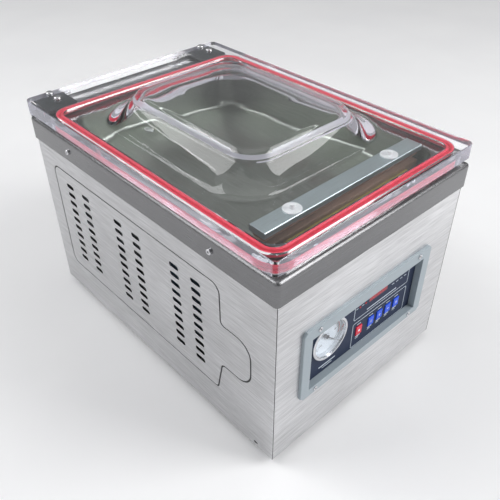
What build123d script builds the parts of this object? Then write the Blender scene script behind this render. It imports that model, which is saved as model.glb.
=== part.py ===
"""Tabletop chamber vacuum packing machine with a domed clear lid.

Millimetres. The front faces -Y, +X is on the right seen from the front, +Z is up, and the
origin is on the surface that the feet stand on, below the middle of the cabinet.
"""

from build123d import *
import math
import os

os.makedirs("parts", exist_ok=True)

# ---------------------------------------------------------------- driving dimensions
# Cabinet: flat stainless sheets on a folded base pan.
CABINET_WIDTH = 330.0
CABINET_DEPTH = 490.0
PANEL_HEIGHT = 258.0
SHEET = 1.5
SEAM = 0.3
FOOT_HEIGHT = 10.0
FOOT_RADIUS = 14.0
FOOT_INSET = 34.0
PAN_FLANGE = 16.0
PAN_SLOT_SETBACK = 95.0
PAN_SLOT_LENGTH = 60.0
PAN_SLOT_PITCH = 40.0
BACK_SLOT_LENGTH = 30.0
BACK_SLOT_PITCH = 40.0

# Top deck: a pressed cover with a skirt that laps over the cabinet.
SKIRT_HEIGHT = 32.0
DECK_OVERHANG = 3.0
DECK_SHEET = 2.0
DECK_CORNER = 5.0
DECK_EDGE_ROUND = 4.0

# Chamber: a deep-drawn tub hung in the deck.
CHAMBER_SIDE_MARGIN = 24.0
CHAMBER_FRONT_MARGIN = 30.0
CHAMBER_BACK_MARGIN = 70.0
CHAMBER_DEPTH = 50.0
CHAMBER_CORNER = 22.0
CHAMBER_FLOOR_ROUND = 8.0

# Lid: a thick clear sheet, blown up into a dome in the middle.
LID_OVERHANG = 2.0
LID_SETBACK = 2.0
LID_THICKNESS = 20.0
LID_GAP = 6.5
LID_CORNER = 8.0
DOME_RISE = 30.5
DOME_RING = 9.0
DOME_WALL = 8.0
DOME_SIDE_MARGIN = 48.0
DOME_FRONT_MARGIN = 85.0
DOME_BACK_MARGIN = 61.0
DOME_CORNER = 38.0
DOME_FLARE_SIDE = 42.0
DOME_FLARE_END = 32.0
LID_CHAMFER = 1.0
LID_HOLE_FIT = 0.2

# Gasket: a square red ring let into the underside of the lid.
GASKET_WIDTH = 10.0
GASKET_MARGIN = 10.0
GASKET_GROOVE = 6.0
GASKET_CORNER = 14.0
SOFT_CLEARANCE = 0.3

# Lid hinges.
HINGE_INSET = 29.0
LEAF_WIDTH = 46.0
LEAF_THICKNESS = 4.0
LEAF_REACH = 48.0
PIVOT_BEHIND = 12.0
PIVOT_BELOW_LEAF = 5.0
BARREL_RADIUS = 7.0
PIN_RADIUS = 3.0
MIDDLE_KNUCKLE = 20.0
KNUCKLE_GAP = 0.4
RUNNING_FIT = 0.05
BRACKET_THICKNESS = 3.0
BRACKET_DROP = 26.0
BRACKET_TOP_GAP = 3.0
LID_BOLT_RADIUS = 3.0
LID_BOLT_HEAD = 5.5
LID_BOLT_HEAD_HEIGHT = 3.4
LID_BOLT_SETBACKS = (32.0, 10.0)
SPRING_WIRE = 1.6
SPRING_TURNS = 5
SPRING_SPACE = 18.0
SPRING_LEG = 20.0
PIN_END = 2.0

# Pressure bar under the lid, and the heated bar that rises against it.
BAR_END_GAP = 6.0
BAR_WIDTH = 24.0
BAR_SETBACK = 31.0
PRESSURE_BAR_HEIGHT = 8.0
PRESSURE_PAD_HEIGHT = 6.0
BAR_SCREW_SPACING = 167.0
BAR_SCREW_HEAD = 5.6
BAR_SCREW_REACH = 11.0
BAR_WASHER_RADIUS = 11.0
BAR_WASHER = 1.5
SEAL_END_GAP = 10.0
SEAL_BAR_HEIGHT = 23.0
SEAL_GAP = 5.0
SEAL_TRAVEL = 4.6
SEAL_COVER = 0.5
HEATING_BAND_WIDTH = 5.0
HEATING_BAND = 0.3
CLAMP_END = 23.0
CLAMP_HEIGHT = 9.0
CLAMP_THICKNESS = 2.5
CLAMP_SCREW_END = 15.0
CLAMP_RAISE = 14.0
LIFT_SPACING = 190.0
LIFT_ROD_RADIUS = 5.0
LIFT_FIT = 0.05
ROD_SOCKET = 9.0
BUSH_WALL = 4.0
BUSH_BODY = 6.0
RETURN_WIRE = 0.9
RETURN_TURNS = 4
CYLINDER_WALL = 3.0
CYLINDER_TAIL = 10.0
LIFT_CYLINDER_RADIUS = 17.0
LIFT_CYLINDER_HEIGHT = 42.0
PISTON_HEIGHT = 8.0

# Control panel: a screwed bezel around a sunk membrane.
BEZEL_CENTRE_X = -4.5
BEZEL_WIDTH = 239.0
BEZEL_TOP_DROP = 66.0
BEZEL_HEIGHT = 113.0
BEZEL_THICKNESS = 4.0
BEZEL_CHAMFER = 5.0
WINDOW_WIDTH = 210.0
WINDOW_HEIGHT = 85.0
WINDOW_OFFSET_X = -0.5
WINDOW_OFFSET_Z = -2.0
SLEEVE = 1.5
PANEL_SINK = 9.0
MEMBRANE = 1.0
BEZEL_SCREW_X = 94.0
BEZEL_SCREW_Z = 50.0

# Vacuum gauge.
GAUGE_SIDE_GAP = 10.5
GAUGE_TOP_GAP = 2.0
GAUGE_RADIUS = 30.5
GAUGE_RIM = 3.5
GAUGE_CASE_DEPTH = 24.0
GAUGE_PROUD = 3.0
DIAL_SINK = 5.0
NEEDLE_LIFT = 1.6

# Buttons and display.
BUTTON_WIDTH = 11.0
BUTTON_HEIGHT = 14.0
BUTTON_PROUD = 1.5
BUTTON_TRAVEL = 1.0
BUTTON_CLEARANCE = 0.25
BUTTON_DROP = 15.5
STOP_BUTTON_OFFSET = -6.5
FIRST_KEY_OFFSET = 17.5
KEY_PITCH = 17.5
KEY_COUNT = 4
DISPLAY_OFFSET = 27.0
DISPLAY_RAISE = 28.5
DISPLAY_WIDTH = 36.0
DISPLAY_HEIGHT = 14.0
LAMP_RADIUS = 1.5
LAMP_PITCH_X = 11.0
LAMP_PITCH_Z = 9.0

# Side vents: slots in three pairs of columns inside a pressed line.
VENT_SLOT = 18.0
VENT_SLOT_HEIGHT = 7.0
VENT_PITCH = 14.2
VENT_RAISE = 78.0
VENT_PAIR_PITCH = 121.0
VENT_PAIR_SPACING = 41.0
VENT_BACK_MARGIN = 74.5
VENT_FRONT_MARGIN = 130.0
VENT_GROOVE_GAP = 20.0
GROOVE_WIDTH = 2.4
GROOVE_DEPTH = 0.7
GROOVE_TOP_DROP = 29.0
GROOVE_RAISE = 50.0
GROOVE_BACK_MARGIN = 34.0
GROOVE_NECK_MARGIN = 88.0
GROOVE_TAB_MARGIN = 37.0
GROOVE_TAB_HEIGHT = 71.0
GROOVE_TAB_DROP = 4.0
LOW_SLOT_SETBACK = 29.0
LOW_SLOT_RAISE = 6.0
LOW_SLOT_LENGTH = 7.0
LOW_SLOT_HEIGHT = 4.0

# Fasteners and the appliance inlet.
SCREW_HOLE = 2.1
SCREW_SHANK = 1.9
SKIRT_SCREW_INSET = 98.0
SKIRT_SCREW_RAISE = 15.0
PANEL_SCREW_INSET = 15.0
PANEL_SCREW_MARGIN = 18.0
BRACKET_SCREW_OFFSET = 15.0
INLET_INSET = 55.0
INLET_RAISE = 50.0
INLET_WIDTH = 28.0
INLET_HEIGHT = 22.0
INLET_LIP = 7.0
INLET_FLANGE = 2.5
INLET_BODY = 22.0
INLET_SOCKET = 14.0

# Machinery inside the cabinet.
PUMP_WIDTH = 130.0
PUMP_LENGTH = 130.0
PUMP_HEADROOM = 79.0
PUMP_WALL = 10.0
PUMP_INSET = 115.0
MOTOR_MARGIN = 45.0
MOTOR_BELOW_PUMP = 8.0
MOTOR_LENGTH = 140.0
MOTOR_WALL = 10.0
ROTOR_RADIUS = 26.0
SHAFT_RADIUS = 5.0
FAN_TIP_GAP = 12.0
FAN_HUB = 14.0
FAN_WIDTH = 14.0
FAN_COVER_LENGTH = 34.0
FAN_COVER_LAP = 8.0
RAIL_HEIGHT = 18.0
PORT_INSET = 93.0
PORT_SETBACK = 25.0
PORT_RADIUS = 6.5
PORT_LIP = 1.5
PORT_FLANGE = 2.0
PORT_BODY = 8.0
PORT_TAIL = 12.0
PORT_HOLE = 1.0
PORT_HOLE_CIRCLE = 3.4
HOSE_BORE = 5.0
HOSE_RADIUS = 8.0
HOSE_STRAIGHT = 4.5
SIGHT_RADIUS = 12.0
CAP_RADIUS = 13.0
TRANSFORMER_INSET = 70.0
TRANSFORMER_SETBACK = 105.0
CORE_WIDTH = 84.0
CORE_DEPTH = 40.0
CORE_HEIGHT = 72.0
CORE_LEG = 14.0
COIL_DEPTH = 68.0
COIL_FIT = 0.2
VALVE_INSET = 60.0
VALVE_SETBACKS = (225.0, 165.0)
VALVE_BODY = 34.0
VALVE_POST = 60.0
CONTACTOR_INSET = 60.0
CONTACTOR_SETBACK = 80.0
BOARD_THICKNESS = 1.6

# ---------------------------------------------------------------- levels that follow
SKIRT_BOTTOM = FOOT_HEIGHT + PANEL_HEIGHT
DECK_TOP = SKIRT_BOTTOM + SKIRT_HEIGHT
DECK_UNDER = DECK_TOP - DECK_SHEET
LID_UNDER = DECK_TOP + LID_GAP
LID_TOP = LID_UNDER + LID_THICKNESS
CHAMBER_FLOOR = DECK_TOP - CHAMBER_DEPTH
TUB_UNDER = CHAMBER_FLOOR - SHEET
SIDE_X = CABINET_WIDTH / 2
FRONT_Y = -CABINET_DEPTH / 2
BACK_Y = CABINET_DEPTH / 2
SKIRT_X = SIDE_X + DECK_OVERHANG
SKIRT_Y = BACK_Y + DECK_OVERHANG
PAN_TOP = FOOT_HEIGHT + SHEET
PANEL_TOP = DECK_UNDER
FRONT_INNER = FRONT_Y + SHEET
BACK_INNER = BACK_Y - SHEET
SIDE_INNER = SIDE_X - SHEET
SKIRT_SCREW_Y = BACK_Y - SKIRT_SCREW_INSET
SKIRT_SCREW_Z = SKIRT_BOTTOM + SKIRT_SCREW_RAISE
PANEL_SCREW_X = SIDE_X - PANEL_SCREW_INSET
LOW_SCREW_Z = FOOT_HEIGHT + PANEL_SCREW_MARGIN
HIGH_SCREW_Z = SKIRT_BOTTOM - PANEL_SCREW_MARGIN
PANEL_SCREW_LEVELS = (LOW_SCREW_Z, (LOW_SCREW_Z + HIGH_SCREW_Z) / 2, HIGH_SCREW_Z)
INLET_X = SIDE_X - INLET_INSET
INLET_Z = FOOT_HEIGHT + INLET_RAISE

CHAMBER_WIDTH = CABINET_WIDTH - 2 * CHAMBER_SIDE_MARGIN
CHAMBER_FRONT_Y = FRONT_Y + CHAMBER_FRONT_MARGIN
CHAMBER_BACK_Y = BACK_Y - CHAMBER_BACK_MARGIN
CHAMBER_LENGTH = CHAMBER_BACK_Y - CHAMBER_FRONT_Y
CHAMBER_CENTRE_Y = (CHAMBER_FRONT_Y + CHAMBER_BACK_Y) / 2
LID_WIDTH = 2 * (SKIRT_X + LID_OVERHANG)
LID_DEPTH = 2 * (SKIRT_Y - LID_SETBACK)
DOME_WIDTH = CHAMBER_WIDTH - 2 * DOME_SIDE_MARGIN
DOME_LENGTH = CHAMBER_LENGTH - DOME_FRONT_MARGIN - DOME_BACK_MARGIN
DOME_CENTRE_Y = CHAMBER_FRONT_Y + DOME_FRONT_MARGIN + DOME_LENGTH / 2
HINGE_X = SIDE_X - HINGE_INSET
LEAF_FRONT_Y = SKIRT_Y - LEAF_REACH
LID_BOLT_Y = [SKIRT_Y - setback for setback in LID_BOLT_SETBACKS]
BAR_LENGTH = CHAMBER_WIDTH - 2 * BAR_END_GAP
BAR_CENTRE_Y = CHAMBER_FRONT_Y + BAR_SETBACK
SEAL_BAR_LENGTH = CHAMBER_WIDTH - 2 * SEAL_END_GAP
CLAMP_LENGTH = SEAL_BAR_LENGTH - 2 * CLAMP_END
PORT_X = -CHAMBER_WIDTH / 2 + PORT_INSET
PORT_Y = CHAMBER_BACK_Y - PORT_SETBACK
PORT_END = TUB_UNDER - PORT_BODY - PORT_TAIL

BEZEL_BOTTOM = SKIRT_BOTTOM - BEZEL_TOP_DROP - BEZEL_HEIGHT
BEZEL_CENTRE_Z = BEZEL_BOTTOM + BEZEL_HEIGHT / 2
WINDOW_CENTRE_X = BEZEL_CENTRE_X + WINDOW_OFFSET_X
WINDOW_CENTRE_Z = BEZEL_CENTRE_Z + WINDOW_OFFSET_Z
GAUGE_X = WINDOW_CENTRE_X - WINDOW_WIDTH / 2 + GAUGE_SIDE_GAP + GAUGE_RADIUS
GAUGE_Z = WINDOW_CENTRE_Z + WINDOW_HEIGHT / 2 - GAUGE_TOP_GAP - GAUGE_RADIUS
BUTTON_Z = WINDOW_CENTRE_Z - BUTTON_DROP
STOP_BUTTON_X = WINDOW_CENTRE_X + STOP_BUTTON_OFFSET
FIRST_KEY_X = WINDOW_CENTRE_X + FIRST_KEY_OFFSET
DISPLAY_X = WINDOW_CENTRE_X + DISPLAY_OFFSET
DISPLAY_Z = WINDOW_CENTRE_Z + DISPLAY_RAISE


# ---------------------------------------------------------------- shape helpers
def block(x, y, z):
    """Box between the low and high values given for each axis."""
    size = [high - low for low, high in (x, y, z)]
    middle = [(high + low) / 2 for low, high in (x, y, z)]
    return Pos(*middle) * Box(*size)


def rounded_block(x, y, z, radius):
    """Box with its four upright edges rounded."""
    solid = block(x, y, z)
    return fillet(solid.edges().filter_by(Axis.Z), radius)


def centred(middle, width):
    return (middle - width / 2, middle + width / 2)


def rod(axis, centre, radius, span):
    """Cylinder along X, Y or Z; centre gives the two other coordinates."""
    length = span[1] - span[0]
    middle = (span[0] + span[1]) / 2
    solid = Cylinder(radius, length)
    if axis == "X":
        return Pos(middle, centre[0], centre[1]) * Rot(0, 90, 0) * solid
    if axis == "Y":
        return Pos(centre[0], middle, centre[1]) * Rot(90, 0, 0) * solid
    return Pos(centre[0], centre[1], middle) * solid


def rounded_outline(width, length, radius, centre_y, level):
    """Flat rounded rectangle at a level."""
    return Pos(0, centre_y, level) * RectangleRounded(width, length, radius)


def cap_screw(axis, centre, head_at, outward, head_radius=3.8, head=2.6, shank=8.0):
    """Pan-head screw whose head sits on head_at and whose shank goes inwards."""
    head_span = sorted((head_at, head_at + outward * head))
    shank_span = sorted((head_at, head_at - outward * shank))
    whole = rod(axis, centre, head_radius, head_span)
    edge = whole.edges().sort_by(Axis(whole.center(), axis_vector(axis, outward)))[-1]
    whole = fillet(edge, head * 0.4)
    socket = sorted((head_at + outward * head * 0.45, head_at + outward * head * 1.1))
    whole = whole - rod(axis, centre, head_radius * 0.42, socket)
    return whole + rod(axis, centre, head_radius * 0.5, shank_span)


def axis_vector(axis, sign):
    return {"X": (sign, 0, 0), "Y": (0, sign, 0), "Z": (0, 0, sign)}[axis]


def save(node, *solids):
    """Write one node; several solids stay separate."""
    shape = solids[0] if len(solids) == 1 else Compound(children=list(solids))
    export_step(shape, f"parts/{node}.step")


# ---------------------------------------------------------------- cabinet
def base_pan():
    outer = block((-SIDE_INNER + SEAM, SIDE_INNER - SEAM),
                  (FRONT_INNER + SEAM, BACK_INNER - SEAM),
                  (FOOT_HEIGHT, FOOT_HEIGHT + PAN_FLANGE))
    inner = block((-SIDE_INNER + SEAM + SHEET, SIDE_INNER - SEAM - SHEET),
                  (FRONT_INNER + SEAM + SHEET, BACK_INNER - SEAM - SHEET),
                  (PAN_TOP, FOOT_HEIGHT + PAN_FLANGE + 1))
    pan = outer - inner
    for x, y in foot_places():
        pan -= rod("Z", (x, y), SCREW_HOLE, (FOOT_HEIGHT - 1, PAN_TOP + 1))
    for number in range(4):
        x = (number - 1.5) * PAN_SLOT_PITCH
        slot = extrude(SlotOverall(PAN_SLOT_LENGTH, VENT_SLOT_HEIGHT, 90), SHEET * 2, both=True)
        pan -= Pos(x, FRONT_Y + PAN_SLOT_SETBACK, FOOT_HEIGHT) * slot
    return pan


def foot_places():
    for x in (-SIDE_X + FOOT_INSET, SIDE_X - FOOT_INSET):
        for y in (FRONT_Y + FOOT_INSET, BACK_Y - FOOT_INSET):
            yield x, y


def foot(x, y):
    disc = rod("Z", (x, y), FOOT_RADIUS, (0, FOOT_HEIGHT))
    rim = disc.edges().sort_by(Axis.Z)[0]
    disc = fillet(rim, 2.0)
    stud = rod("Z", (x, y), SCREW_SHANK, (FOOT_HEIGHT, PAN_TOP + 4))
    return disc + stud


GROOVE_TOP = SKIRT_BOTTOM - GROOVE_TOP_DROP
GROOVE_BOTTOM = FOOT_HEIGHT + GROOVE_RAISE
VENT_BOTTOM = FOOT_HEIGHT + VENT_RAISE


def vent_places():
    """As many pairs of columns, and rows in them, as the sheet has room for."""
    room = CABINET_DEPTH - VENT_BACK_MARGIN - VENT_PAIR_SPACING - VENT_FRONT_MARGIN
    rise = GROOVE_TOP - VENT_GROOVE_GAP - VENT_BOTTOM
    for pair in range(1 + int(room / VENT_PAIR_PITCH)):
        for column in range(2):
            y = BACK_Y - VENT_BACK_MARGIN - pair * VENT_PAIR_PITCH - column * VENT_PAIR_SPACING
            for row in range(1 + int(rise / VENT_PITCH)):
                yield y, VENT_BOTTOM + row * VENT_PITCH


def groove_outline():
    """Pressed line: a long rounded panel with a tab towards the front."""
    back = BACK_Y - GROOVE_BACK_MARGIN
    neck = FRONT_Y + GROOVE_NECK_MARGIN
    tab = FRONT_Y + GROOVE_TAB_MARGIN
    tab_middle = (GROOVE_TOP + GROOVE_BOTTOM) / 2 - GROOVE_TAB_DROP
    low, high = centred(tab_middle, GROOVE_TAB_HEIGHT)
    corners = [(back, GROOVE_TOP), (neck, GROOVE_TOP), (neck, high), (tab, high),
               (tab, low), (neck, low), (neck + 10, GROOVE_BOTTOM), (back, GROOVE_BOTTOM)]
    radii = [14, 14, 6, 24, 24, 6, 8, 14]
    return make_face(FilletPolyline(*corners, radius=radii, close=True))


def side_panel(side):
    """Side sheet with vent slots, a pressed line and screw holes; side is -1 or 1."""
    x_span = sorted((side * SIDE_X, side * SIDE_INNER))
    panel = block(x_span, (FRONT_Y, BACK_Y), (FOOT_HEIGHT, PANEL_TOP))
    outside = panel.edges().filter_by(Axis.Z).group_by(Axis.X)[0 if side < 0 else -1]
    panel = fillet(outside, SHEET * 0.6)
    face = Plane.YZ.offset(side * SIDE_X)
    panel -= [extrude(face * Pos(y, z) * SlotOverall(VENT_SLOT, VENT_SLOT_HEIGHT),
                      SHEET * 2, both=True) for y, z in vent_places()]
    outline = groove_outline()
    line = outline - offset(outline, -GROOVE_WIDTH)
    pressed = Plane.YZ.offset(side * (SIDE_X - GROOVE_DEPTH)) * line
    panel -= extrude(pressed, side * GROOVE_DEPTH * 2)
    for y in (-SKIRT_SCREW_Y, SKIRT_SCREW_Y):
        panel -= rod("X", (y, SKIRT_SCREW_Z), SCREW_HOLE, (x_span[0] - 1, x_span[1] + 1))
    if side < 0:
        low_slot = SlotOverall(LOW_SLOT_LENGTH, LOW_SLOT_HEIGHT)
        place = Pos(FRONT_Y + LOW_SLOT_SETBACK, FOOT_HEIGHT + LOW_SLOT_RAISE)
        panel -= extrude(face * place * low_slot, SHEET * 2, both=True)
    return panel


def front_panel():
    panel = block((-SIDE_INNER + SEAM, SIDE_INNER - SEAM), (FRONT_Y, FRONT_INNER),
                  (FOOT_HEIGHT, PANEL_TOP))
    hole = block(centred(WINDOW_CENTRE_X, WINDOW_WIDTH + 2 * SLEEVE + 2 * SEAM),
                 (FRONT_Y - 1, FRONT_INNER + 1),
                 centred(WINDOW_CENTRE_Z, WINDOW_HEIGHT + 2 * SLEEVE + 2 * SEAM))
    panel -= hole
    for x, z in bezel_screw_places():
        panel -= rod("Y", (x, z), SCREW_HOLE, (FRONT_Y - 1, FRONT_INNER + 1))
    return panel


def back_panel():
    panel = block((-SIDE_INNER + SEAM, SIDE_INNER - SEAM), (BACK_INNER, BACK_Y),
                  (FOOT_HEIGHT, PANEL_TOP))
    for row in range(7):
        for column in range(3):
            x = PUMP_X + (column - 1) * BACK_SLOT_PITCH
            z = PUMP_AXIS_Z + (row - 3) * VENT_PITCH
            panel -= Pos(x, BACK_Y, z) * Rot(90, 0, 0) * extrude(
                SlotOverall(BACK_SLOT_LENGTH, VENT_SLOT_HEIGHT), SHEET * 2, both=True)
    panel -= block(centred(INLET_X, INLET_WIDTH + 2 * SEAM), (BACK_INNER - 1, BACK_Y + 1),
                   centred(INLET_Z, INLET_HEIGHT + 2 * SEAM))
    for x in (-PANEL_SCREW_X, PANEL_SCREW_X):
        for z in PANEL_SCREW_LEVELS:
            panel -= rod("Y", (x, z), SCREW_HOLE, (BACK_INNER - 1, BACK_Y + 1))
    for x, z in bracket_screw_places():
        panel -= rod("Y", (x, z), SCREW_HOLE, (BACK_INNER - 1, BACK_Y + 1))
    return panel


def skirt_screws():
    """Two screws through the skirt on each side."""
    return [cap_screw("X", (y, SKIRT_SCREW_Z), side * SKIRT_X, side)
            for side in (-1, 1) for y in (-SKIRT_SCREW_Y, SKIRT_SCREW_Y)]


def back_screws():
    return [cap_screw("Y", (x, z), BACK_Y, 1)
            for x in (-PANEL_SCREW_X, PANEL_SCREW_X) for z in PANEL_SCREW_LEVELS]


# ---------------------------------------------------------------- deck and chamber
def top_deck():
    outer = rounded_block((-SKIRT_X, SKIRT_X), (-SKIRT_Y, SKIRT_Y),
                          (SKIRT_BOTTOM, DECK_TOP), DECK_CORNER)
    outer = fillet(outer.faces().sort_by(Axis.Z)[-1].edges(), DECK_EDGE_ROUND)
    inner = rounded_block((-SKIRT_X + DECK_SHEET, SKIRT_X - DECK_SHEET),
                          (-SKIRT_Y + DECK_SHEET, SKIRT_Y - DECK_SHEET),
                          (SKIRT_BOTTOM - 1, DECK_UNDER), DECK_CORNER - DECK_SHEET)
    deck = outer - inner
    mouth = extrude(rounded_outline(CHAMBER_WIDTH, CHAMBER_LENGTH, CHAMBER_CORNER,
                                    CHAMBER_CENTRE_Y, DECK_UNDER - 1), DECK_SHEET * 2)
    deck -= mouth
    lip = deck.faces().sort_by(Axis.Z)[-1].inner_wires()[0].edges()
    deck = fillet(lip, DECK_SHEET * 0.7)
    for side in (-1, 1):
        for y in (-SKIRT_SCREW_Y, SKIRT_SCREW_Y):
            span = sorted((side * (SKIRT_X - DECK_SHEET - 1), side * (SKIRT_X + 1)))
            deck -= rod("X", (y, SKIRT_SCREW_Z), SCREW_HOLE, span)
    for x, z in bracket_screw_places():
        deck -= rod("Y", (x, z), SCREW_HOLE, (SKIRT_Y - DECK_SHEET - 1, SKIRT_Y + 1))
    return deck


def chamber_basin():
    """Tub under the deck mouth: straight walls, a rounded floor edge, service holes."""
    outer = extrude(rounded_outline(CHAMBER_WIDTH + 2 * SHEET, CHAMBER_LENGTH + 2 * SHEET,
                                    CHAMBER_CORNER + SHEET, CHAMBER_CENTRE_Y, TUB_UNDER),
                    DECK_UNDER - TUB_UNDER)
    outer = fillet(outer.faces().sort_by(Axis.Z)[0].edges(), CHAMBER_FLOOR_ROUND + SHEET)
    inner = extrude(rounded_outline(CHAMBER_WIDTH, CHAMBER_LENGTH, CHAMBER_CORNER,
                                    CHAMBER_CENTRE_Y, CHAMBER_FLOOR), CHAMBER_DEPTH + 1)
    inner = fillet(inner.faces().sort_by(Axis.Z)[0].edges(), CHAMBER_FLOOR_ROUND)
    tub = outer - inner
    for x in lift_places():
        tub -= rod("Z", (x, BAR_CENTRE_Y), BUSH_RADIUS, (TUB_UNDER - 1, CHAMBER_FLOOR + 1))
    tub -= rod("Z", (PORT_X, PORT_Y), PORT_RADIUS, (TUB_UNDER - 1, CHAMBER_FLOOR + 1))
    return tub


def chamber_port():
    """Suction fitting: flanged strainer head, body through the floor, hose tail below."""
    place = (PORT_X, PORT_Y)
    flange = rod("Z", place, PORT_RADIUS + PORT_LIP, (CHAMBER_FLOOR, CHAMBER_FLOOR + PORT_FLANGE))
    flange = fillet(flange.edges().sort_by(Axis.Z)[-1], PORT_FLANGE / 2)
    body = rod("Z", place, PORT_RADIUS, (TUB_UNDER - PORT_BODY, CHAMBER_FLOOR))
    tail = rod("Z", place, HOSE_RADIUS, (PORT_END, TUB_UNDER - PORT_BODY))
    bore = rod("Z", place, HOSE_BORE, (PORT_END - 1, CHAMBER_FLOOR))
    fitting = flange + body + tail - bore
    for turn in range(6):
        angle = math.radians(60 * turn)
        x = PORT_X + PORT_HOLE_CIRCLE * math.cos(angle)
        y = PORT_Y + PORT_HOLE_CIRCLE * math.sin(angle)
        fitting -= rod("Z", (x, y), PORT_HOLE,
                       (CHAMBER_FLOOR - 1, CHAMBER_FLOOR + PORT_FLANGE + 1))
    return fitting


# ---------------------------------------------------------------- lid
def dome_shell(shrink, drop):
    """Dome as a smooth loft through rounded rectangles, narrowing upwards."""
    ring_low = LID_TOP + DOME_RISE - DOME_RING
    flare = [(1.0, LID_TOP - 1.0), (0.72, LID_TOP + 1.2), (0.42, LID_TOP + 5.5),
             (0.18, LID_TOP + 12.5), (0.05, ring_low)]
    sections = []
    for share, level in flare:
        width = DOME_WIDTH + 6 + 2 * share * DOME_FLARE_SIDE
        length = DOME_LENGTH + 6 + 2 * share * DOME_FLARE_END
        corner = DOME_CORNER + share * 26
        sections.append(rounded_outline(width - 2 * shrink, length - 2 * shrink,
                                        corner - shrink, DOME_CENTRE_Y, level - drop))
    for margin, level in ((2.0, ring_low + DOME_RING * 0.7), (-4.0, LID_TOP + DOME_RISE)):
        sections.append(rounded_outline(DOME_WIDTH + margin - 2 * shrink,
                                        DOME_LENGTH + margin - 2 * shrink,
                                        DOME_CORNER - shrink, DOME_CENTRE_Y, level - drop))
    return loft(sections, ruled=True)


def lid_plate():
    plate = rounded_block(centred(0, LID_WIDTH), centred(0, LID_DEPTH),
                          (LID_UNDER, LID_TOP), LID_CORNER)
    plate = chamfer(plate.faces().filter_by(Axis.Z).edges(), LID_CHAMFER)
    plate += dome_shell(0, 0)
    hollow = dome_shell(DOME_WALL, DOME_WALL)
    mouth = hollow.faces().sort_by(Axis.Z)[0]
    plate -= hollow
    plate -= extrude(mouth, LID_TOP - LID_UNDER, dir=(0, 0, -1))
    plate -= gasket_ring(LID_UNDER - 1, LID_UNDER + GASKET_GROOVE)
    for x, y in lid_bolt_places():
        plate -= rod("Z", (x, y), LID_BOLT_RADIUS + LID_HOLE_FIT, (LID_UNDER - 1, LID_TOP + 1))
    for x in bar_screw_places():
        plate -= rod("Z", (x, BAR_CENTRE_Y), LID_BOLT_RADIUS + LID_HOLE_FIT,
                     (LID_UNDER - 1, LID_UNDER + BAR_SCREW_REACH + 1))
    return plate


def gasket_ring(low, high):
    width = CHAMBER_WIDTH + 2 * GASKET_MARGIN
    length = CHAMBER_LENGTH + 2 * GASKET_MARGIN
    outer = rounded_outline(width + 2 * GASKET_WIDTH, length + 2 * GASKET_WIDTH,
                            GASKET_CORNER + GASKET_WIDTH, CHAMBER_CENTRE_Y, low)
    inner = rounded_outline(width, length, GASKET_CORNER, CHAMBER_CENTRE_Y, low)
    return extrude(outer, high - low) - extrude(inner, high - low)


def lid_gasket():
    return gasket_ring(DECK_TOP + SOFT_CLEARANCE, LID_UNDER + GASKET_GROOVE)


def lid_bolt_places():
    for side in (-1, 1):
        for y in LID_BOLT_Y:
            yield side * HINGE_X, y


def bar_screw_places():
    return (-BAR_SCREW_SPACING / 2, BAR_SCREW_SPACING / 2)


def lid_bolts():
    """Domed bolts down through the lid and the hinge leaves."""
    bolts = []
    for x, y in lid_bolt_places():
        head = rod("Z", (x, y), LID_BOLT_HEAD, (LID_TOP, LID_TOP + LID_BOLT_HEAD_HEIGHT))
        head = fillet(head.edges().sort_by(Axis.Z)[-1], LID_BOLT_HEAD_HEIGHT * 0.75)
        shank = rod("Z", (x, y), LID_BOLT_RADIUS, (LID_UNDER - LEAF_THICKNESS, LID_TOP))
        bolts.append(head + shank)
    return bolts


# ---------------------------------------------------------------- hinges
PIVOT_Y = SKIRT_Y + PIVOT_BEHIND
PIVOT_Z = LID_UNDER - LEAF_THICKNESS - PIVOT_BELOW_LEAF
PIN_HOLE = PIN_RADIUS + RUNNING_FIT


def hinge_leaf(side):
    """Strap under the lid that narrows to the middle knuckle of the hinge."""
    centre = side * HINGE_X
    strap = block(centred(centre, LEAF_WIDTH), (LEAF_FRONT_Y, SKIRT_Y + 1.0),
                  (LID_UNDER - LEAF_THICKNESS, LID_UNDER))
    strap = fillet(strap.edges().filter_by(Axis.Z).group_by(Axis.Y)[0], 5.0)
    neck = block(centred(centre, MIDDLE_KNUCKLE), (SKIRT_Y, PIVOT_Y),
                 (LID_UNDER - LEAF_THICKNESS, LID_UNDER))
    knuckle_span = centred(centre, MIDDLE_KNUCKLE)
    barrel = rod("X", (PIVOT_Y, PIVOT_Z), BARREL_RADIUS, knuckle_span)
    web = block(knuckle_span, (PIVOT_Y - BARREL_RADIUS * 0.6, PIVOT_Y),
                (PIVOT_Z, LID_UNDER - LEAF_THICKNESS))
    leaf = strap + neck + barrel + web
    leaf -= rod("X", (PIVOT_Y, PIVOT_Z), PIN_HOLE, centred(centre, MIDDLE_KNUCKLE + 2))
    for y in LID_BOLT_Y:
        leaf -= rod("Z", (centre, y), LID_BOLT_RADIUS + LID_HOLE_FIT,
                    (LID_UNDER - LEAF_THICKNESS - 1, LID_UNDER + 1))
    return leaf


def bracket_screw_places():
    for side in (-1, 1):
        for offset_x in (-BRACKET_SCREW_OFFSET, BRACKET_SCREW_OFFSET):
            yield side * HINGE_X + offset_x, SKIRT_SCREW_Z


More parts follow.
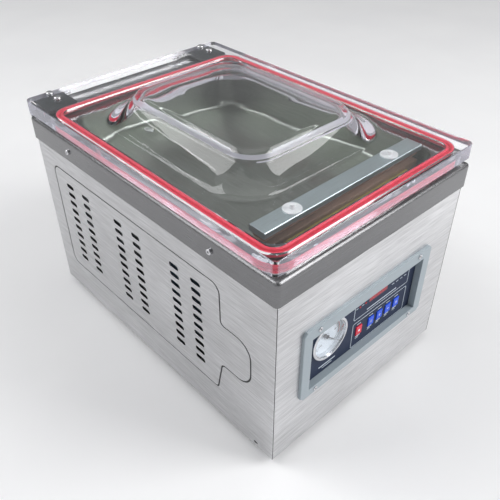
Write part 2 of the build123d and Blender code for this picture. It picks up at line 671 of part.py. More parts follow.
def hinge_bracket(side):
    """Back plate on the skirt with two outer knuckles for the pin."""
    centre = side * HINGE_X
    top = DECK_TOP - BRACKET_TOP_GAP
    bracket = block(centred(centre, LEAF_WIDTH), (SKIRT_Y, SKIRT_Y + BRACKET_THICKNESS),
                    (top - BRACKET_DROP, top))
    knuckle = (LEAF_WIDTH - MIDDLE_KNUCKLE) / 2 - KNUCKLE_GAP
    for end in (-1, 1):
        middle = centre + end * (MIDDLE_KNUCKLE / 2 + KNUCKLE_GAP + knuckle / 2)
        span = centred(middle, knuckle)
        bracket += rod("X", (PIVOT_Y, PIVOT_Z), BARREL_RADIUS, span)
        bracket += block(span, (SKIRT_Y, PIVOT_Y), (PIVOT_Z - BARREL_RADIUS, PIVOT_Z))
    bracket -= rod("X", (PIVOT_Y, PIVOT_Z), PIN_RADIUS, centred(centre, LEAF_WIDTH + 4))
    for offset_x in (-BRACKET_SCREW_OFFSET, BRACKET_SCREW_OFFSET):
        bracket -= rod("Y", (centre + offset_x, SKIRT_SCREW_Z), SCREW_HOLE,
                       (SKIRT_Y - 1, SKIRT_Y + BRACKET_THICKNESS + 1))
    return bracket


def hinge_pin(side):
    """Pin through the knuckles, long enough inboard to carry the lift spring."""
    inner = HINGE_X - LEAF_WIDTH / 2 - SPRING_SPACE
    outer = HINGE_X + LEAF_WIDTH / 2 + PIN_END
    span = sorted((side * inner, side * outer))
    pin = rod("X", (PIVOT_Y, PIVOT_Z), PIN_RADIUS, span)
    pin = chamfer(pin.edges(), 0.6)
    return pin


def bracket_screws():
    return [cap_screw("Y", (x, z), SKIRT_Y + BRACKET_THICKNESS, 1, shank=9.0)
            for x, z in bracket_screw_places()]


def lid_spring(side):
    """Close-wound torsion coil round the inboard end of the pin, drawn as a sleeve of rings."""
    start = side * (HINGE_X - LEAF_WIDTH / 2 - 1.0 - SPRING_WIRE)
    ring_radius = PIN_RADIUS + SPRING_WIRE / 2 + 0.6
    coil = None
    for turn in range(SPRING_TURNS):
        x = start - side * turn * SPRING_WIRE * 0.9
        ring = Pos(x, PIVOT_Y, PIVOT_Z) * Rot(0, 90, 0) * Torus(ring_radius, SPRING_WIRE / 2)
        coil = ring if coil is None else coil + ring
    leg_x = start - side * (SPRING_TURNS - 1) * SPRING_WIRE * 0.9
    leg = rod("Z", (leg_x, PIVOT_Y - ring_radius), SPRING_WIRE / 2,
              (PIVOT_Z - SPRING_LEG, PIVOT_Z))
    return coil + leg


# ---------------------------------------------------------------- sealing bars
PRESSURE_LOW = LID_UNDER - BAR_WASHER - PRESSURE_BAR_HEIGHT
PAD_LOW = PRESSURE_LOW - PRESSURE_PAD_HEIGHT
SEAL_TOP = PAD_LOW - SEAL_GAP
SEAL_BAR_LOW = SEAL_TOP - SEAL_COVER - HEATING_BAND - SEAL_BAR_HEIGHT
ROD_TOP = SEAL_BAR_LOW + ROD_SOCKET
BUSH_RADIUS = LIFT_ROD_RADIUS + BUSH_WALL


def pressure_bar():
    bar = block(centred(0, BAR_LENGTH), centred(BAR_CENTRE_Y, BAR_WIDTH),
                (PRESSURE_LOW, LID_UNDER - BAR_WASHER))
    bar = chamfer(bar.edges().filter_by(Axis.X), 0.8)
    for x in bar_screw_places():
        bar -= rod("Z", (x, BAR_CENTRE_Y), LID_BOLT_RADIUS + LID_HOLE_FIT,
                   (PRESSURE_LOW - 1, LID_UNDER))
        bar -= rod("Z", (x, BAR_CENTRE_Y), BAR_SCREW_HEAD + 2 * LID_HOLE_FIT,
                   (PRESSURE_LOW - 1, PRESSURE_LOW + 4))
    return bar


def pressure_pad():
    pad = block(centred(0, BAR_LENGTH - 6), centred(BAR_CENTRE_Y, BAR_WIDTH - 6),
                (PAD_LOW, PRESSURE_LOW))
    return fillet(pad.edges().filter_by(Axis.X).group_by(Axis.Z)[0], 2.0)


def bar_screws():
    """Screws up through the bar and a wide washer into blind holes in the lid."""
    screws = []
    for x in bar_screw_places():
        shank = rod("Z", (x, BAR_CENTRE_Y), LID_BOLT_RADIUS,
                    (PRESSURE_LOW + 0.6, LID_UNDER + BAR_SCREW_REACH))
        head = rod("Z", (x, BAR_CENTRE_Y), BAR_SCREW_HEAD, (PRESSURE_LOW + 0.6, PRESSURE_LOW + 4))
        screws.append(head + shank)
    return screws


def bar_washers():
    washers = []
    for x in bar_screw_places():
        disc = rod("Z", (x, BAR_CENTRE_Y), BAR_WASHER_RADIUS,
                   (LID_UNDER - BAR_WASHER, LID_UNDER))
        washers.append(disc - rod("Z", (x, BAR_CENTRE_Y), LID_BOLT_RADIUS + 0.1,
                                  (LID_UNDER - 3, LID_UNDER + 1)))
    return washers


def lift_places():
    return (-LIFT_SPACING / 2, LIFT_SPACING / 2)


def seal_bar_body():
    bar = block(centred(0, SEAL_BAR_LENGTH), centred(BAR_CENTRE_Y, BAR_WIDTH - 2 * SEAL_COVER),
                (SEAL_BAR_LOW, SEAL_BAR_LOW + SEAL_BAR_HEIGHT))
    for x in lift_places():
        bar -= rod("Z", (x, BAR_CENTRE_Y), LIFT_ROD_RADIUS, (SEAL_BAR_LOW - 1, ROD_TOP))
    return bar


def heating_band():
    low = SEAL_BAR_LOW + SEAL_BAR_HEIGHT
    return block(centred(0, SEAL_BAR_LENGTH - 8), centred(BAR_CENTRE_Y, HEATING_BAND_WIDTH),
                 (low, low + HEATING_BAND))


def seal_cover():
    """Thin heat-proof cloth over the top and down both long sides of the bar."""
    cloth = block(centred(0, SEAL_BAR_LENGTH - 2), centred(BAR_CENTRE_Y, BAR_WIDTH),
                  (SEAL_BAR_LOW + 1, SEAL_TOP))
    cloth -= block(centred(0, SEAL_BAR_LENGTH),
                   centred(BAR_CENTRE_Y, BAR_WIDTH - 2 * SEAL_COVER),
                   (SEAL_BAR_LOW, SEAL_BAR_LOW + SEAL_BAR_HEIGHT))
    low = SEAL_BAR_LOW + SEAL_BAR_HEIGHT
    cloth -= block(centred(0, SEAL_BAR_LENGTH), centred(BAR_CENTRE_Y, HEATING_BAND_WIDTH),
                   (low - 1, low + HEATING_BAND))
    return cloth


CLAMP_FACE_Y = BAR_CENTRE_Y - BAR_WIDTH / 2
CLAMP_Z = SEAL_BAR_LOW + CLAMP_RAISE


def clamp_screw_places():
    reach = CLAMP_LENGTH / 2 - CLAMP_SCREW_END
    return (-reach, reach)


def clamp_strip():
    strip = block(centred(0, CLAMP_LENGTH), (CLAMP_FACE_Y - CLAMP_THICKNESS, CLAMP_FACE_Y),
                  centred(CLAMP_Z, CLAMP_HEIGHT))
    for x in clamp_screw_places():
        strip -= rod("Y", (x, CLAMP_Z), 1.6, (CLAMP_FACE_Y - 4, CLAMP_FACE_Y + 1))
    return strip


def clamp_screws():
    return [cap_screw("Y", (x, CLAMP_Z), CLAMP_FACE_Y - CLAMP_THICKNESS, -1, 2.6, 1.6,
                      CLAMP_THICKNESS) for x in clamp_screw_places()]


CYLINDER_TOP = TUB_UNDER
CYLINDER_LOW = CYLINDER_TOP - LIFT_CYLINDER_HEIGHT
PISTON_LOW = CYLINDER_LOW + 6.0


def lift_rod(x):
    """Rod and piston that push one end of the heated bar up."""
    piston = rod("Z", (x, BAR_CENTRE_Y), LIFT_CYLINDER_RADIUS - CYLINDER_WALL - LIFT_FIT,
                 (PISTON_LOW, PISTON_LOW + PISTON_HEIGHT))
    return piston + rod("Z", (x, BAR_CENTRE_Y), LIFT_ROD_RADIUS, (PISTON_LOW, ROD_TOP))


def lift_cylinder(x):
    barrel = rod("Z", (x, BAR_CENTRE_Y), LIFT_CYLINDER_RADIUS, (CYLINDER_LOW, CYLINDER_TOP))
    barrel -= rod("Z", (x, BAR_CENTRE_Y), LIFT_CYLINDER_RADIUS - CYLINDER_WALL,
                  (CYLINDER_LOW + CYLINDER_WALL, CYLINDER_TOP + 1))
    tail_low = CYLINDER_LOW - CYLINDER_TAIL
    tail = rod("Z", (x, BAR_CENTRE_Y), 4.0, (tail_low, CYLINDER_LOW))
    tail -= rod("Z", (x, BAR_CENTRE_Y), 2.0, (tail_low - 1, CYLINDER_LOW + 4))
    barrel -= rod("Z", (x, BAR_CENTRE_Y), 2.0, (CYLINDER_LOW - 1, CYLINDER_LOW + 4))
    return barrel + tail


def guide_bush(x):
    """Flanged brass bush that seals the rod in the chamber floor."""
    bush = rod("Z", (x, BAR_CENTRE_Y), BUSH_RADIUS, (TUB_UNDER - BUSH_BODY, CHAMBER_FLOOR))
    bush += rod("Z", (x, BAR_CENTRE_Y), BUSH_RADIUS + 2.5, (CHAMBER_FLOOR, CHAMBER_FLOOR + 1.5))
    return bush - rod("Z", (x, BAR_CENTRE_Y), LIFT_ROD_RADIUS + LIFT_FIT,
                      (TUB_UNDER - BUSH_BODY - 1, CHAMBER_FLOOR + 3))


def return_spring(x):
    """Coil under the bush that draws the bar down again, at its length with the bar up."""
    low = PISTON_LOW + PISTON_HEIGHT + SEAL_TRAVEL + 2 * SOFT_CLEARANCE
    high = TUB_UNDER - BUSH_BODY
    radius = LIFT_ROD_RADIUS + 3.0
    pitch = (high - low - 2 * RETURN_WIRE) / RETURN_TURNS
    path = Pos(x, BAR_CENTRE_Y, low + RETURN_WIRE) * Helix(pitch, pitch * RETURN_TURNS, radius)
    section = Plane(origin=path @ 0, z_dir=path % 0) * Circle(RETURN_WIRE)
    return sweep(section, path=path)


# ---------------------------------------------------------------- control panel
BEZEL_FACE = FRONT_Y - BEZEL_THICKNESS
MEMBRANE_FACE = BEZEL_FACE + PANEL_SINK
MEMBRANE_BACK = MEMBRANE_FACE + MEMBRANE


def bezel_screw_places():
    for side in (-1, 1):
        for level in (-1, 1):
            yield BEZEL_CENTRE_X + side * BEZEL_SCREW_X, BEZEL_CENTRE_Z + level * BEZEL_SCREW_Z


def panel_bezel():
    """Raised frame with cut corners and a sleeve that runs back to the membrane."""
    frame_plate = block(centred(BEZEL_CENTRE_X, BEZEL_WIDTH), (BEZEL_FACE, FRONT_Y),
                        (BEZEL_BOTTOM, BEZEL_BOTTOM + BEZEL_HEIGHT))
    frame_plate = chamfer(frame_plate.edges().filter_by(Axis.Y), BEZEL_CHAMFER)
    rim = frame_plate.faces().sort_by(Axis.Y)[0].edges()
    frame_plate = fillet(rim, 1.0)
    sleeve = block(centred(WINDOW_CENTRE_X, WINDOW_WIDTH + 2 * SLEEVE),
                   (FRONT_Y - 1, MEMBRANE_BACK + 3),
                   centred(WINDOW_CENTRE_Z, WINDOW_HEIGHT + 2 * SLEEVE))
    window = block(centred(WINDOW_CENTRE_X, WINDOW_WIDTH), (BEZEL_FACE - 1, MEMBRANE_BACK + 4),
                   centred(WINDOW_CENTRE_Z, WINDOW_HEIGHT))
    bezel = frame_plate + sleeve - window
    for x, z in bezel_screw_places():
        bezel -= rod("Y", (x, z), SCREW_HOLE, (BEZEL_FACE - 1, FRONT_Y + 1))
    return bezel


def button_places():
    yield "button_stop", STOP_BUTTON_X
    for number in range(KEY_COUNT):
        yield f"button_key_{number + 1}", FIRST_KEY_X + number * KEY_PITCH


def membrane_panel():
    """Printed front plate with holes for the gauge and the buttons."""
    plate = block(centred(WINDOW_CENTRE_X, WINDOW_WIDTH - 0.2), (MEMBRANE_FACE, MEMBRANE_BACK),
                  centred(WINDOW_CENTRE_Z, WINDOW_HEIGHT - 0.2))
    plate -= rod("Y", (GAUGE_X, GAUGE_Z), GAUGE_BORE, (MEMBRANE_FACE - 1, MEMBRANE_BACK + 1))
    for _, x in button_places():
        plate -= block(centred(x, BUTTON_WIDTH + 2 * BUTTON_CLEARANCE),
                       (MEMBRANE_FACE - 1, MEMBRANE_BACK + 1),
                       centred(BUTTON_Z, BUTTON_HEIGHT + 2 * BUTTON_CLEARANCE))
    plate -= block(centred(DISPLAY_X, DISPLAY_WIDTH), (MEMBRANE_FACE - 1, MEMBRANE_BACK + 1),
                   centred(DISPLAY_Z, DISPLAY_HEIGHT))
    for x, z in indicator_places():
        plate -= rod("Y", (x, z), LAMP_RADIUS, (MEMBRANE_FACE - 1, MEMBRANE_BACK + 1))
    return plate


def indicator_places():
    for row in range(2):
        for column in range(2):
            x = STOP_BUTTON_X + (column - 0.5) * LAMP_PITCH_X + 3.0
            yield x, DISPLAY_Z + (row - 0.5) * LAMP_PITCH_Z + 0.5


def display_window():
    return block(centred(DISPLAY_X, DISPLAY_WIDTH), (MEMBRANE_FACE, MEMBRANE_BACK + 3),
                 centred(DISPLAY_Z, DISPLAY_HEIGHT))


def indicator_lamps():
    lamps = []
    for x, z in indicator_places():
        lamp = rod("Y", (x, z), LAMP_RADIUS, (MEMBRANE_FACE - 0.6, MEMBRANE_BACK + 3))
        lamps.append(fillet(lamp.edges().sort_by(Axis.Y)[0], 0.5))
    return lamps


BUTTON_FLANGE = 1.0
BUTTON_LIP = 1.2
BUTTON_BACK = MEMBRANE_BACK + 5.0
BOARD_FACE = BUTTON_BACK + BUTTON_TRAVEL + 2.2


def button(x):
    """Square cap with a retaining flange behind the membrane and a short stem."""
    cap = block(centred(x, BUTTON_WIDTH), (MEMBRANE_FACE - BUTTON_PROUD, MEMBRANE_BACK),
                centred(BUTTON_Z, BUTTON_HEIGHT))
    cap = fillet(cap.faces().sort_by(Axis.Y)[0].edges(), 0.6)
    flange = block(centred(x, BUTTON_WIDTH + 2 * BUTTON_LIP), (MEMBRANE_BACK, MEMBRANE_BACK + BUTTON_FLANGE),
                   centred(BUTTON_Z, BUTTON_HEIGHT + 2 * BUTTON_LIP))
    stem = rod("Y", (x, BUTTON_Z), 2.0, (MEMBRANE_BACK, BUTTON_BACK))
    return cap + flange + stem


def key_switches():
    switches = []
    for _, x in button_places():
        base = block(centred(x, 6), (BOARD_FACE - 1.6, BOARD_FACE), centred(BUTTON_Z, 6))
        nub = rod("Y", (x, BUTTON_Z), 1.5, (BUTTON_BACK + BUTTON_TRAVEL + 0.1, BOARD_FACE - 1.6))
        switches.append(base + nub)
    return switches


def control_board():
    """Circuit board behind the buttons with its relays, chips and terminal rows."""
    left = STOP_BUTTON_X - 10.5
    low = BUTTON_Z - 23.0
    back = BOARD_FACE + BOARD_THICKNESS
    board = block((left, left + 114), (BOARD_FACE, back), (low, DISPLAY_Z + 10))
    for number in range(3):
        relay_x = left + 14 + 20 * number
        board += block(centred(relay_x, 15), (back, back + 14), (low + 5, low + 23))
    board += block((left + 72, left + 102), (back, back + 4), (low + 30, low + 42))
    board += block((left + 7, left + 97), (back, back + 10), (DISPLAY_Z - 4, DISPLAY_Z + 7))
    board += rod("Y", (left + 92, low + 13), 6.0, (back, back + 18))
    return board


# ---------------------------------------------------------------- vacuum gauge
GAUGE_BORE = GAUGE_RADIUS - GAUGE_RIM
DIAL_FACE = MEMBRANE_FACE + DIAL_SINK
GAUGE_FRONT = MEMBRANE_FACE - GAUGE_PROUD
NEEDLE_Y = DIAL_FACE - NEEDLE_LIFT


def gauge_case():
    cup = rod("Y", (GAUGE_X, GAUGE_Z), GAUGE_BORE, (MEMBRANE_FACE, MEMBRANE_FACE + GAUGE_CASE_DEPTH))
    cup -= rod("Y", (GAUGE_X, GAUGE_Z), GAUGE_BORE - 1.2,
               (MEMBRANE_FACE - 1, MEMBRANE_FACE + GAUGE_CASE_DEPTH - 1.5))
    back = MEMBRANE_FACE + GAUGE_CASE_DEPTH
    stem = rod("Y", (GAUGE_X, GAUGE_Z - 8), 5.5, (back, back + 14))
    hexagon = Pos(GAUGE_X, back, GAUGE_Z - 8) * Rot(-90, 0, 0) * extrude(
        RegularPolygon(8.0, 6), 5.0)
    return cup + stem + hexagon


def gauge_ring():
    ring = rod("Y", (GAUGE_X, GAUGE_Z), GAUGE_RADIUS, (GAUGE_FRONT, MEMBRANE_FACE))
    ring = fillet(ring.edges().filter_by(GeomType.CIRCLE).sort_by(Axis.Y)[0], 1.4)
    return ring - rod("Y", (GAUGE_X, GAUGE_Z), GAUGE_BORE, (GAUGE_FRONT - 1, MEMBRANE_FACE + 1))


def gauge_dial():
    plate = rod("Y", (GAUGE_X, GAUGE_Z), GAUGE_BORE - 1.4, (DIAL_FACE, DIAL_FACE + 0.8))
    return plate - rod("Y", (GAUGE_X, GAUGE_Z), 1.2, (DIAL_FACE - 1, DIAL_FACE + 2))


def gauge_glass():
    return rod("Y", (GAUGE_X, GAUGE_Z), GAUGE_BORE - 0.1, (GAUGE_FRONT + 0.8, GAUGE_FRONT + 2.0))


def gauge_needle():
    """Tapered hand with a round counterweight, pointing at zero, low on the right."""
    reach = GAUGE_BORE * 0.74
    hand = make_face(Polyline((-4.0, -1.0), (reach, -0.25), (reach, 0.25), (-4.0, 1.0),
                              close=True))
    tail = Pos(-7.0, 0) * RectangleRounded(8.0, 5.0, 2.4)
    hub = Circle(2.6)
    flat = extrude(hand + tail + hub, 0.6)
    hand_solid = Pos(GAUGE_X, NEEDLE_Y, GAUGE_Z) * Rot(90, 0, 0) * Rot(0, 0, -45) * flat
    arbor = rod("Y", (GAUGE_X, GAUGE_Z), 1.15, (NEEDLE_Y - 1.2, DIAL_FACE + 6))
    return hand_solid + arbor


# ---------------------------------------------------------------- machinery
PUMP_FOOT = PAN_TOP + RAIL_HEIGHT
PUMP_HEIGHT = TUB_UNDER - PUMP_FOOT - PUMP_HEADROOM
PUMP_TOP = PUMP_FOOT + PUMP_HEIGHT
PUMP_X = -SIDE_X + PUMP_INSET
MOTOR_RADIUS = PUMP_HEIGHT / 2 - MOTOR_BELOW_PUMP
PUMP_AXIS_Z = PUMP_FOOT + PUMP_HEIGHT / 2 + 4.0
MOTOR_BACK_Y = BACK_Y - MOTOR_MARGIN
PUMP_BACK_Y = MOTOR_BACK_Y - MOTOR_LENGTH
PUMP_FRONT_Y = PUMP_BACK_Y - PUMP_LENGTH
PUMP_INTAKE_Y = (PUMP_FRONT_Y + PUMP_BACK_Y) / 2
INTAKE_TOP = PUMP_TOP + 10.0
SIGHT_X = PUMP_X - 30.0
SIGHT_Z = PUMP_FOOT + 45.0
SIGHT_LENS = 3.0
FAN_FRONT_Y = MOTOR_BACK_Y + 3.0
FAN_BACK_Y = FAN_FRONT_Y + FAN_WIDTH
FAN_RADIUS = MOTOR_RADIUS - FAN_TIP_GAP
TRANSFORMER_X = SIDE_X - TRANSFORMER_INSET
TRANSFORMER_Y = FRONT_Y + TRANSFORMER_SETBACK


def pump_housing():
    """Oil-sealed pump: a hollow cast box with fins and an intake flange, open to the motor."""
    x = centred(PUMP_X, PUMP_WIDTH)
    body = block(x, (PUMP_FRONT_Y, PUMP_BACK_Y), (PUMP_FOOT, PUMP_TOP))
    body = fillet(body.edges().filter_by(Axis.Y), 14.0)
    body -= block(centred(PUMP_X, PUMP_WIDTH - 2 * PUMP_WALL),
                  (PUMP_FRONT_Y + PUMP_WALL, PUMP_BACK_Y - PUMP_WALL),
                  (PUMP_FOOT + PUMP_WALL, PUMP_TOP - PUMP_WALL))
    body -= rod("Y", (PUMP_X, PUMP_AXIS_Z), MOTOR_RADIUS - 2 * MOTOR_WALL,
                (PUMP_BACK_Y - PUMP_WALL - 1, PUMP_BACK_Y + 1))
    for number in range(5):
        y = PUMP_FRONT_Y + 22 + number * 20
        body -= block((x[1] - PUMP_WALL / 2, x[1] + 1), (y, y + 8), (PUMP_FOOT + 20, PUMP_TOP - 20))
    body += rod("Z", (PORT_X, PUMP_INTAKE_Y), 2 * HOSE_RADIUS, (PUMP_TOP - 2, INTAKE_TOP))
    body -= rod("Z", (PORT_X, PUMP_INTAKE_Y), HOSE_BORE, (PUMP_TOP - PUMP_WALL - 1, INTAKE_TOP + 1))
    body -= rod("Y", (SIGHT_X, SIGHT_Z), SIGHT_RADIUS, (PUMP_FRONT_Y - 1, PUMP_FRONT_Y + SIGHT_LENS))
    return body


def oil_sight_glass():
    lens = rod("Y", (SIGHT_X, SIGHT_Z), SIGHT_RADIUS, (PUMP_FRONT_Y, PUMP_FRONT_Y + SIGHT_LENS))
    lens += rod("Y", (SIGHT_X, SIGHT_Z), SIGHT_RADIUS + 3, (PUMP_FRONT_Y - SIGHT_LENS, PUMP_FRONT_Y))
    return lens


def filler_cap():
    cap = rod("Z", (PUMP_X + 35, PUMP_FRONT_Y + 30), CAP_RADIUS, (PUMP_TOP, PUMP_TOP + 12))
    return fillet(cap.edges().sort_by(Axis.Z)[-1], 2.0)


def pump_motor():
    """Finned motor barrel behind the pump, hollow round its rotor; the shaft drives the fan."""
    barrel = rod("Y", (PUMP_X, PUMP_AXIS_Z), MOTOR_RADIUS, (PUMP_BACK_Y, MOTOR_BACK_Y))
    space = (PUMP_BACK_Y - 1, MOTOR_BACK_Y - MOTOR_WALL)
    barrel -= (rod("Y", (PUMP_X, PUMP_AXIS_Z), MOTOR_RADIUS - MOTOR_WALL, space)
               - rod("Y", (PUMP_X, PUMP_AXIS_Z), ROTOR_RADIUS, space))
    barrel -= rod("Y", (PUMP_X, PUMP_AXIS_Z), ROTOR_RADIUS + 1, (PUMP_BACK_Y - 1, PUMP_BACK_Y))
    for number in range(16):
        angle = math.radians(number * 22.5 + 11.25)
        x = PUMP_X + (MOTOR_RADIUS + 1) * math.cos(angle)
        z = PUMP_AXIS_Z + (MOTOR_RADIUS + 1) * math.sin(angle)
        barrel -= rod("Y", (x, z), 4.0, (PUMP_BACK_Y + 12, MOTOR_BACK_Y + 1))
    barrel += rod("Y", (PUMP_X, PUMP_AXIS_Z), SHAFT_RADIUS, (MOTOR_BACK_Y, FAN_BACK_Y + 2))
    box_low = PUMP_AXIS_Z + MOTOR_RADIUS - 6
    barrel += block(centred(PUMP_X, 50), (PUMP_BACK_Y + 30, PUMP_BACK_Y + 90),
                    (box_low, box_low + 24))
    return barrel


def motor_fan():
    """Hub with eight straight blades that turns on the motor shaft."""
    fan = rod("Y", (PUMP_X, PUMP_AXIS_Z), FAN_HUB, (FAN_FRONT_Y, FAN_BACK_Y))
    for number in range(8):
        blade = block((FAN_HUB - 2, FAN_RADIUS), (FAN_FRONT_Y, FAN_BACK_Y - 2), (-1.2, 1.2))
        fan += Pos(PUMP_X, 0, PUMP_AXIS_Z) * Rot(0, 45 * number, 0) * blade
    return fan - rod("Y", (PUMP_X, PUMP_AXIS_Z), SHAFT_RADIUS + RUNNING_FIT,
                     (FAN_FRONT_Y - 1, FAN_BACK_Y + 1))


def fan_cover():
    """Sheet cup over the fan with slots in its end."""
    front = MOTOR_BACK_Y - FAN_COVER_LAP
    back = front + FAN_COVER_LENGTH
    radius = MOTOR_RADIUS + 2.0
    cup = rod("Y", (PUMP_X, PUMP_AXIS_Z), radius + SHEET, (front, back))
    cup -= rod("Y", (PUMP_X, PUMP_AXIS_Z), radius, (front - 1, back - SHEET))
    for number in range(7):
        z = PUMP_AXIS_Z + (number - 3) * radius / 5
        half = math.sqrt((radius - 8) ** 2 - (z - PUMP_AXIS_Z) ** 2)
        cup -= block((PUMP_X - half, PUMP_X + half), (back - 3, back + 1), (z - 2.5, z + 2.5))
    return cup


def pump_rails():
    """Two channels across the pan that carry the pump and the motor."""
    rails = []
    for y in (PUMP_FRONT_Y + 25, PUMP_BACK_Y - 25):
        rails.append(block(centred(PUMP_X, PUMP_WIDTH + 30), centred(y, 24),
                           (PAN_TOP, PUMP_FOOT)))
    cradle = block(centred(PUMP_X, 70), centred(MOTOR_BACK_Y - 50, 24),
                   (PAN_TOP, PUMP_AXIS_Z - MOTOR_RADIUS * 0.72))
    cradle -= rod("Y", (PUMP_X, PUMP_AXIS_Z), MOTOR_RADIUS, (PUMP_BACK_Y, MOTOR_BACK_Y))
    rails.append(cradle)
    return rails


def vacuum_hose():
    """Reinforced hose from the pump intake up and back to the chamber port."""
    low = INTAKE_TOP
    high = PORT_END
    middle = (low + high) / 2
    points = [(PORT_X, PUMP_INTAKE_Y, low), (PORT_X, PUMP_INTAKE_Y, middle),
              (PORT_X, PORT_Y, middle), (PORT_X, PORT_Y, high)]
    radius = (high - low) / 2 - HOSE_STRAIGHT
    path = FilletPolyline(*points, radius=radius)
    outer = sweep(Plane(origin=points[0], z_dir=(0, 0, 1)) * Circle(HOSE_RADIUS), path=path)
    inner = sweep(Plane(origin=points[0], z_dir=(0, 0, 1)) * Circle(HOSE_BORE), path=path)
    return outer - inner


def solenoid_valve(y):
    """Brass valve body with its coil and spade terminals."""
    x = SIDE_X - VALVE_INSET
    base = PAN_TOP + VALVE_POST
    body = block(centred(x, VALVE_BODY), centred(y, VALVE_BODY), (base, base + 26))
    body += rod("X", (y, base + 13), 9.0, (x - 30, x + 30))
    body += rod("Z", (x, y), 8.0, (base + 26, base + 70))
    coil = rounded_block(centred(x, 32), centred(y, 30), (base + 30, base + 64), 5.0)
    post = block(centred(x, 20), centred(y, 20), (PAN_TOP, base))
    return body + coil + post


def transformer_core():
    """Laminated frame with two windows for the winding."""
    core = block(centred(TRANSFORMER_X, CORE_WIDTH), centred(TRANSFORMER_Y, CORE_DEPTH),
                 (PAN_TOP, PAN_TOP + CORE_HEIGHT))
    for side in (-1, 1):
        window_x = TRANSFORMER_X + side * CORE_LEG * 1.5
        core -= block(centred(window_x, CORE_LEG), centred(TRANSFORMER_Y, CORE_DEPTH + 2),
                      (PAN_TOP + CORE_LEG, PAN_TOP + CORE_HEIGHT - CORE_LEG))
    return core


def transformer_coil():
    """Winding round the middle leg, through both windows and clear of the iron."""
    coil_width = 4 * CORE_LEG - 5 * COIL_FIT
    low = PAN_TOP + CORE_LEG
    high = PAN_TOP + CORE_HEIGHT - CORE_LEG
    coil = rounded_block(centred(TRANSFORMER_X, coil_width), centred(TRANSFORMER_Y, COIL_DEPTH),
                         (low + COIL_FIT, high - COIL_FIT), 6.0)
    return coil - block(centred(TRANSFORMER_X, 2 * CORE_LEG + 2 * COIL_FIT),
                        centred(TRANSFORMER_Y, CORE_DEPTH + 2 * COIL_FIT), (low - 1, high + 1))


def power_contactor():
    x = SIDE_X - CONTACTOR_INSET
    y = BACK_Y - CONTACTOR_SETBACK
    body = rounded_block(centred(x, 46), centred(y, 60), (PAN_TOP, PAN_TOP + 34), 2.0)
    body += block(centred(x, 46), centred(y, 34), (PAN_TOP + 34, PAN_TOP + 52))
    return body


def power_inlet():
    """Three-pin appliance inlet: flange outside the back panel, body inside."""
    flange = block(centred(INLET_X, INLET_WIDTH + 2 * INLET_LIP), (BACK_Y, BACK_Y + INLET_FLANGE),
                   centred(INLET_Z, INLET_HEIGHT + INLET_LIP))
    flange = fillet(flange.edges().filter_by(Axis.Y), 4.0)
    body = block(centred(INLET_X, INLET_WIDTH), (BACK_Y - INLET_BODY, BACK_Y),
                 centred(INLET_Z, INLET_HEIGHT))
    socket = block(centred(INLET_X, INLET_WIDTH - 4), (BACK_Y - INLET_SOCKET, BACK_Y + 3),
                   centred(INLET_Z, INLET_HEIGHT - 6))
    return flange + body - socket


def inlet_pins():
    pins = []
    for x, z in ((INLET_X - 7, INLET_Z - 2), (INLET_X + 7, INLET_Z - 2), (INLET_X, INLET_Z + 2)):
        pins.append(block(centred(x, 2.0), (BACK_Y - INLET_SOCKET, BACK_Y - 5), centred(z, 4.0)))
    return pins


# ---------------------------------------------------------------- write every node
save("base_pan", base_pan())
save("rubber_feet", *[foot(x, y) for x, y in foot_places()])
save("side_panel_left", side_panel(-1))
save("side_panel_right", side_panel(1))
save("front_panel", front_panel())
save("back_panel", back_panel())
save("top_deck", top_deck())
save("cabinet_screws", *skirt_screws(), *back_screws(), *bracket_screws())
save("chamber_basin", chamber_basin())
save("chamber_port", chamber_port())
save("panel_bezel", panel_bezel())
save("bezel_screws", *[cap_screw("Y", place, BEZEL_FACE, -1, 3.2, 1.4, 6.0)
                       for place in bezel_screw_places()])
save("membrane_panel", membrane_panel())
save("display_window", display_window())
save("indicator_lamps", *indicator_lamps())
for node, x in button_places():
    save(node, button(x))
save("key_switches", *key_switches())
save("control_board", control_board())
save("gauge_case", gauge_case())
save("gauge_ring", gauge_ring())
save("gauge_dial", gauge_dial())
save("gauge_glass", gauge_glass())
save("gauge_needle", gauge_needle())
save("lid_plate", lid_plate())
save("lid_gasket", lid_gasket())
save("lid_bolts", *lid_bolts())
save("hinge_leaves", hinge_leaf(-1), hinge_leaf(1))
save("hinge_brackets", hinge_bracket(-1), hinge_bracket(1))
save("hinge_pins", hinge_pin(-1), hinge_pin(1))
save("lid_springs", lid_spring(-1), lid_spring(1))
save("pressure_bar", pressure_bar())
save("pressure_pad", pressure_pad())
save("bar_fixings", *bar_screws(), *bar_washers())
save("seal_bar", seal_bar_body())
save("heating_band", heating_band())
save("seal_cover", seal_cover())
save("clamp_strip", clamp_strip())
save("clamp_screws", *clamp_screws())
save("lift_rods", *[lift_rod(x) for x in lift_places()])
save("lift_cylinders", *[lift_cylinder(x) for x in lift_places()])
save("guide_bushes", *[guide_bush(x) for x in lift_places()])
save("return_springs", *[return_spring(x) for x in lift_places()])
save("pump_housing", pump_housing())
save("oil_sight_glass", oil_sight_glass())
save("filler_cap", filler_cap())
save("pump_motor", pump_motor())
save("motor_fan", motor_fan())
save("fan_cover", fan_cover())
save("pump_rails", *pump_rails())
save("vacuum_hose", vacuum_hose())
save("solenoid_valves", *[solenoid_valve(BACK_Y - setback) for setback in VALVE_SETBACKS])
save("transformer_core", transformer_core())
save("transformer_coil", transformer_coil())
save("power_contactor", power_contactor())
save("power_inlet", power_inlet())
save("inlet_pins", *inlet_pins())
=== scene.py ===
"""Tabletop chamber vacuum packing machine: the looks of every piece, in metres, Z up.

The front faces -Y, +X is on the right seen from the front, and the machine stands on Z = 0.
"""

from math import cos, pi, radians, sin

import bmesh
import bpy
from mathutils import Matrix, Vector, noise


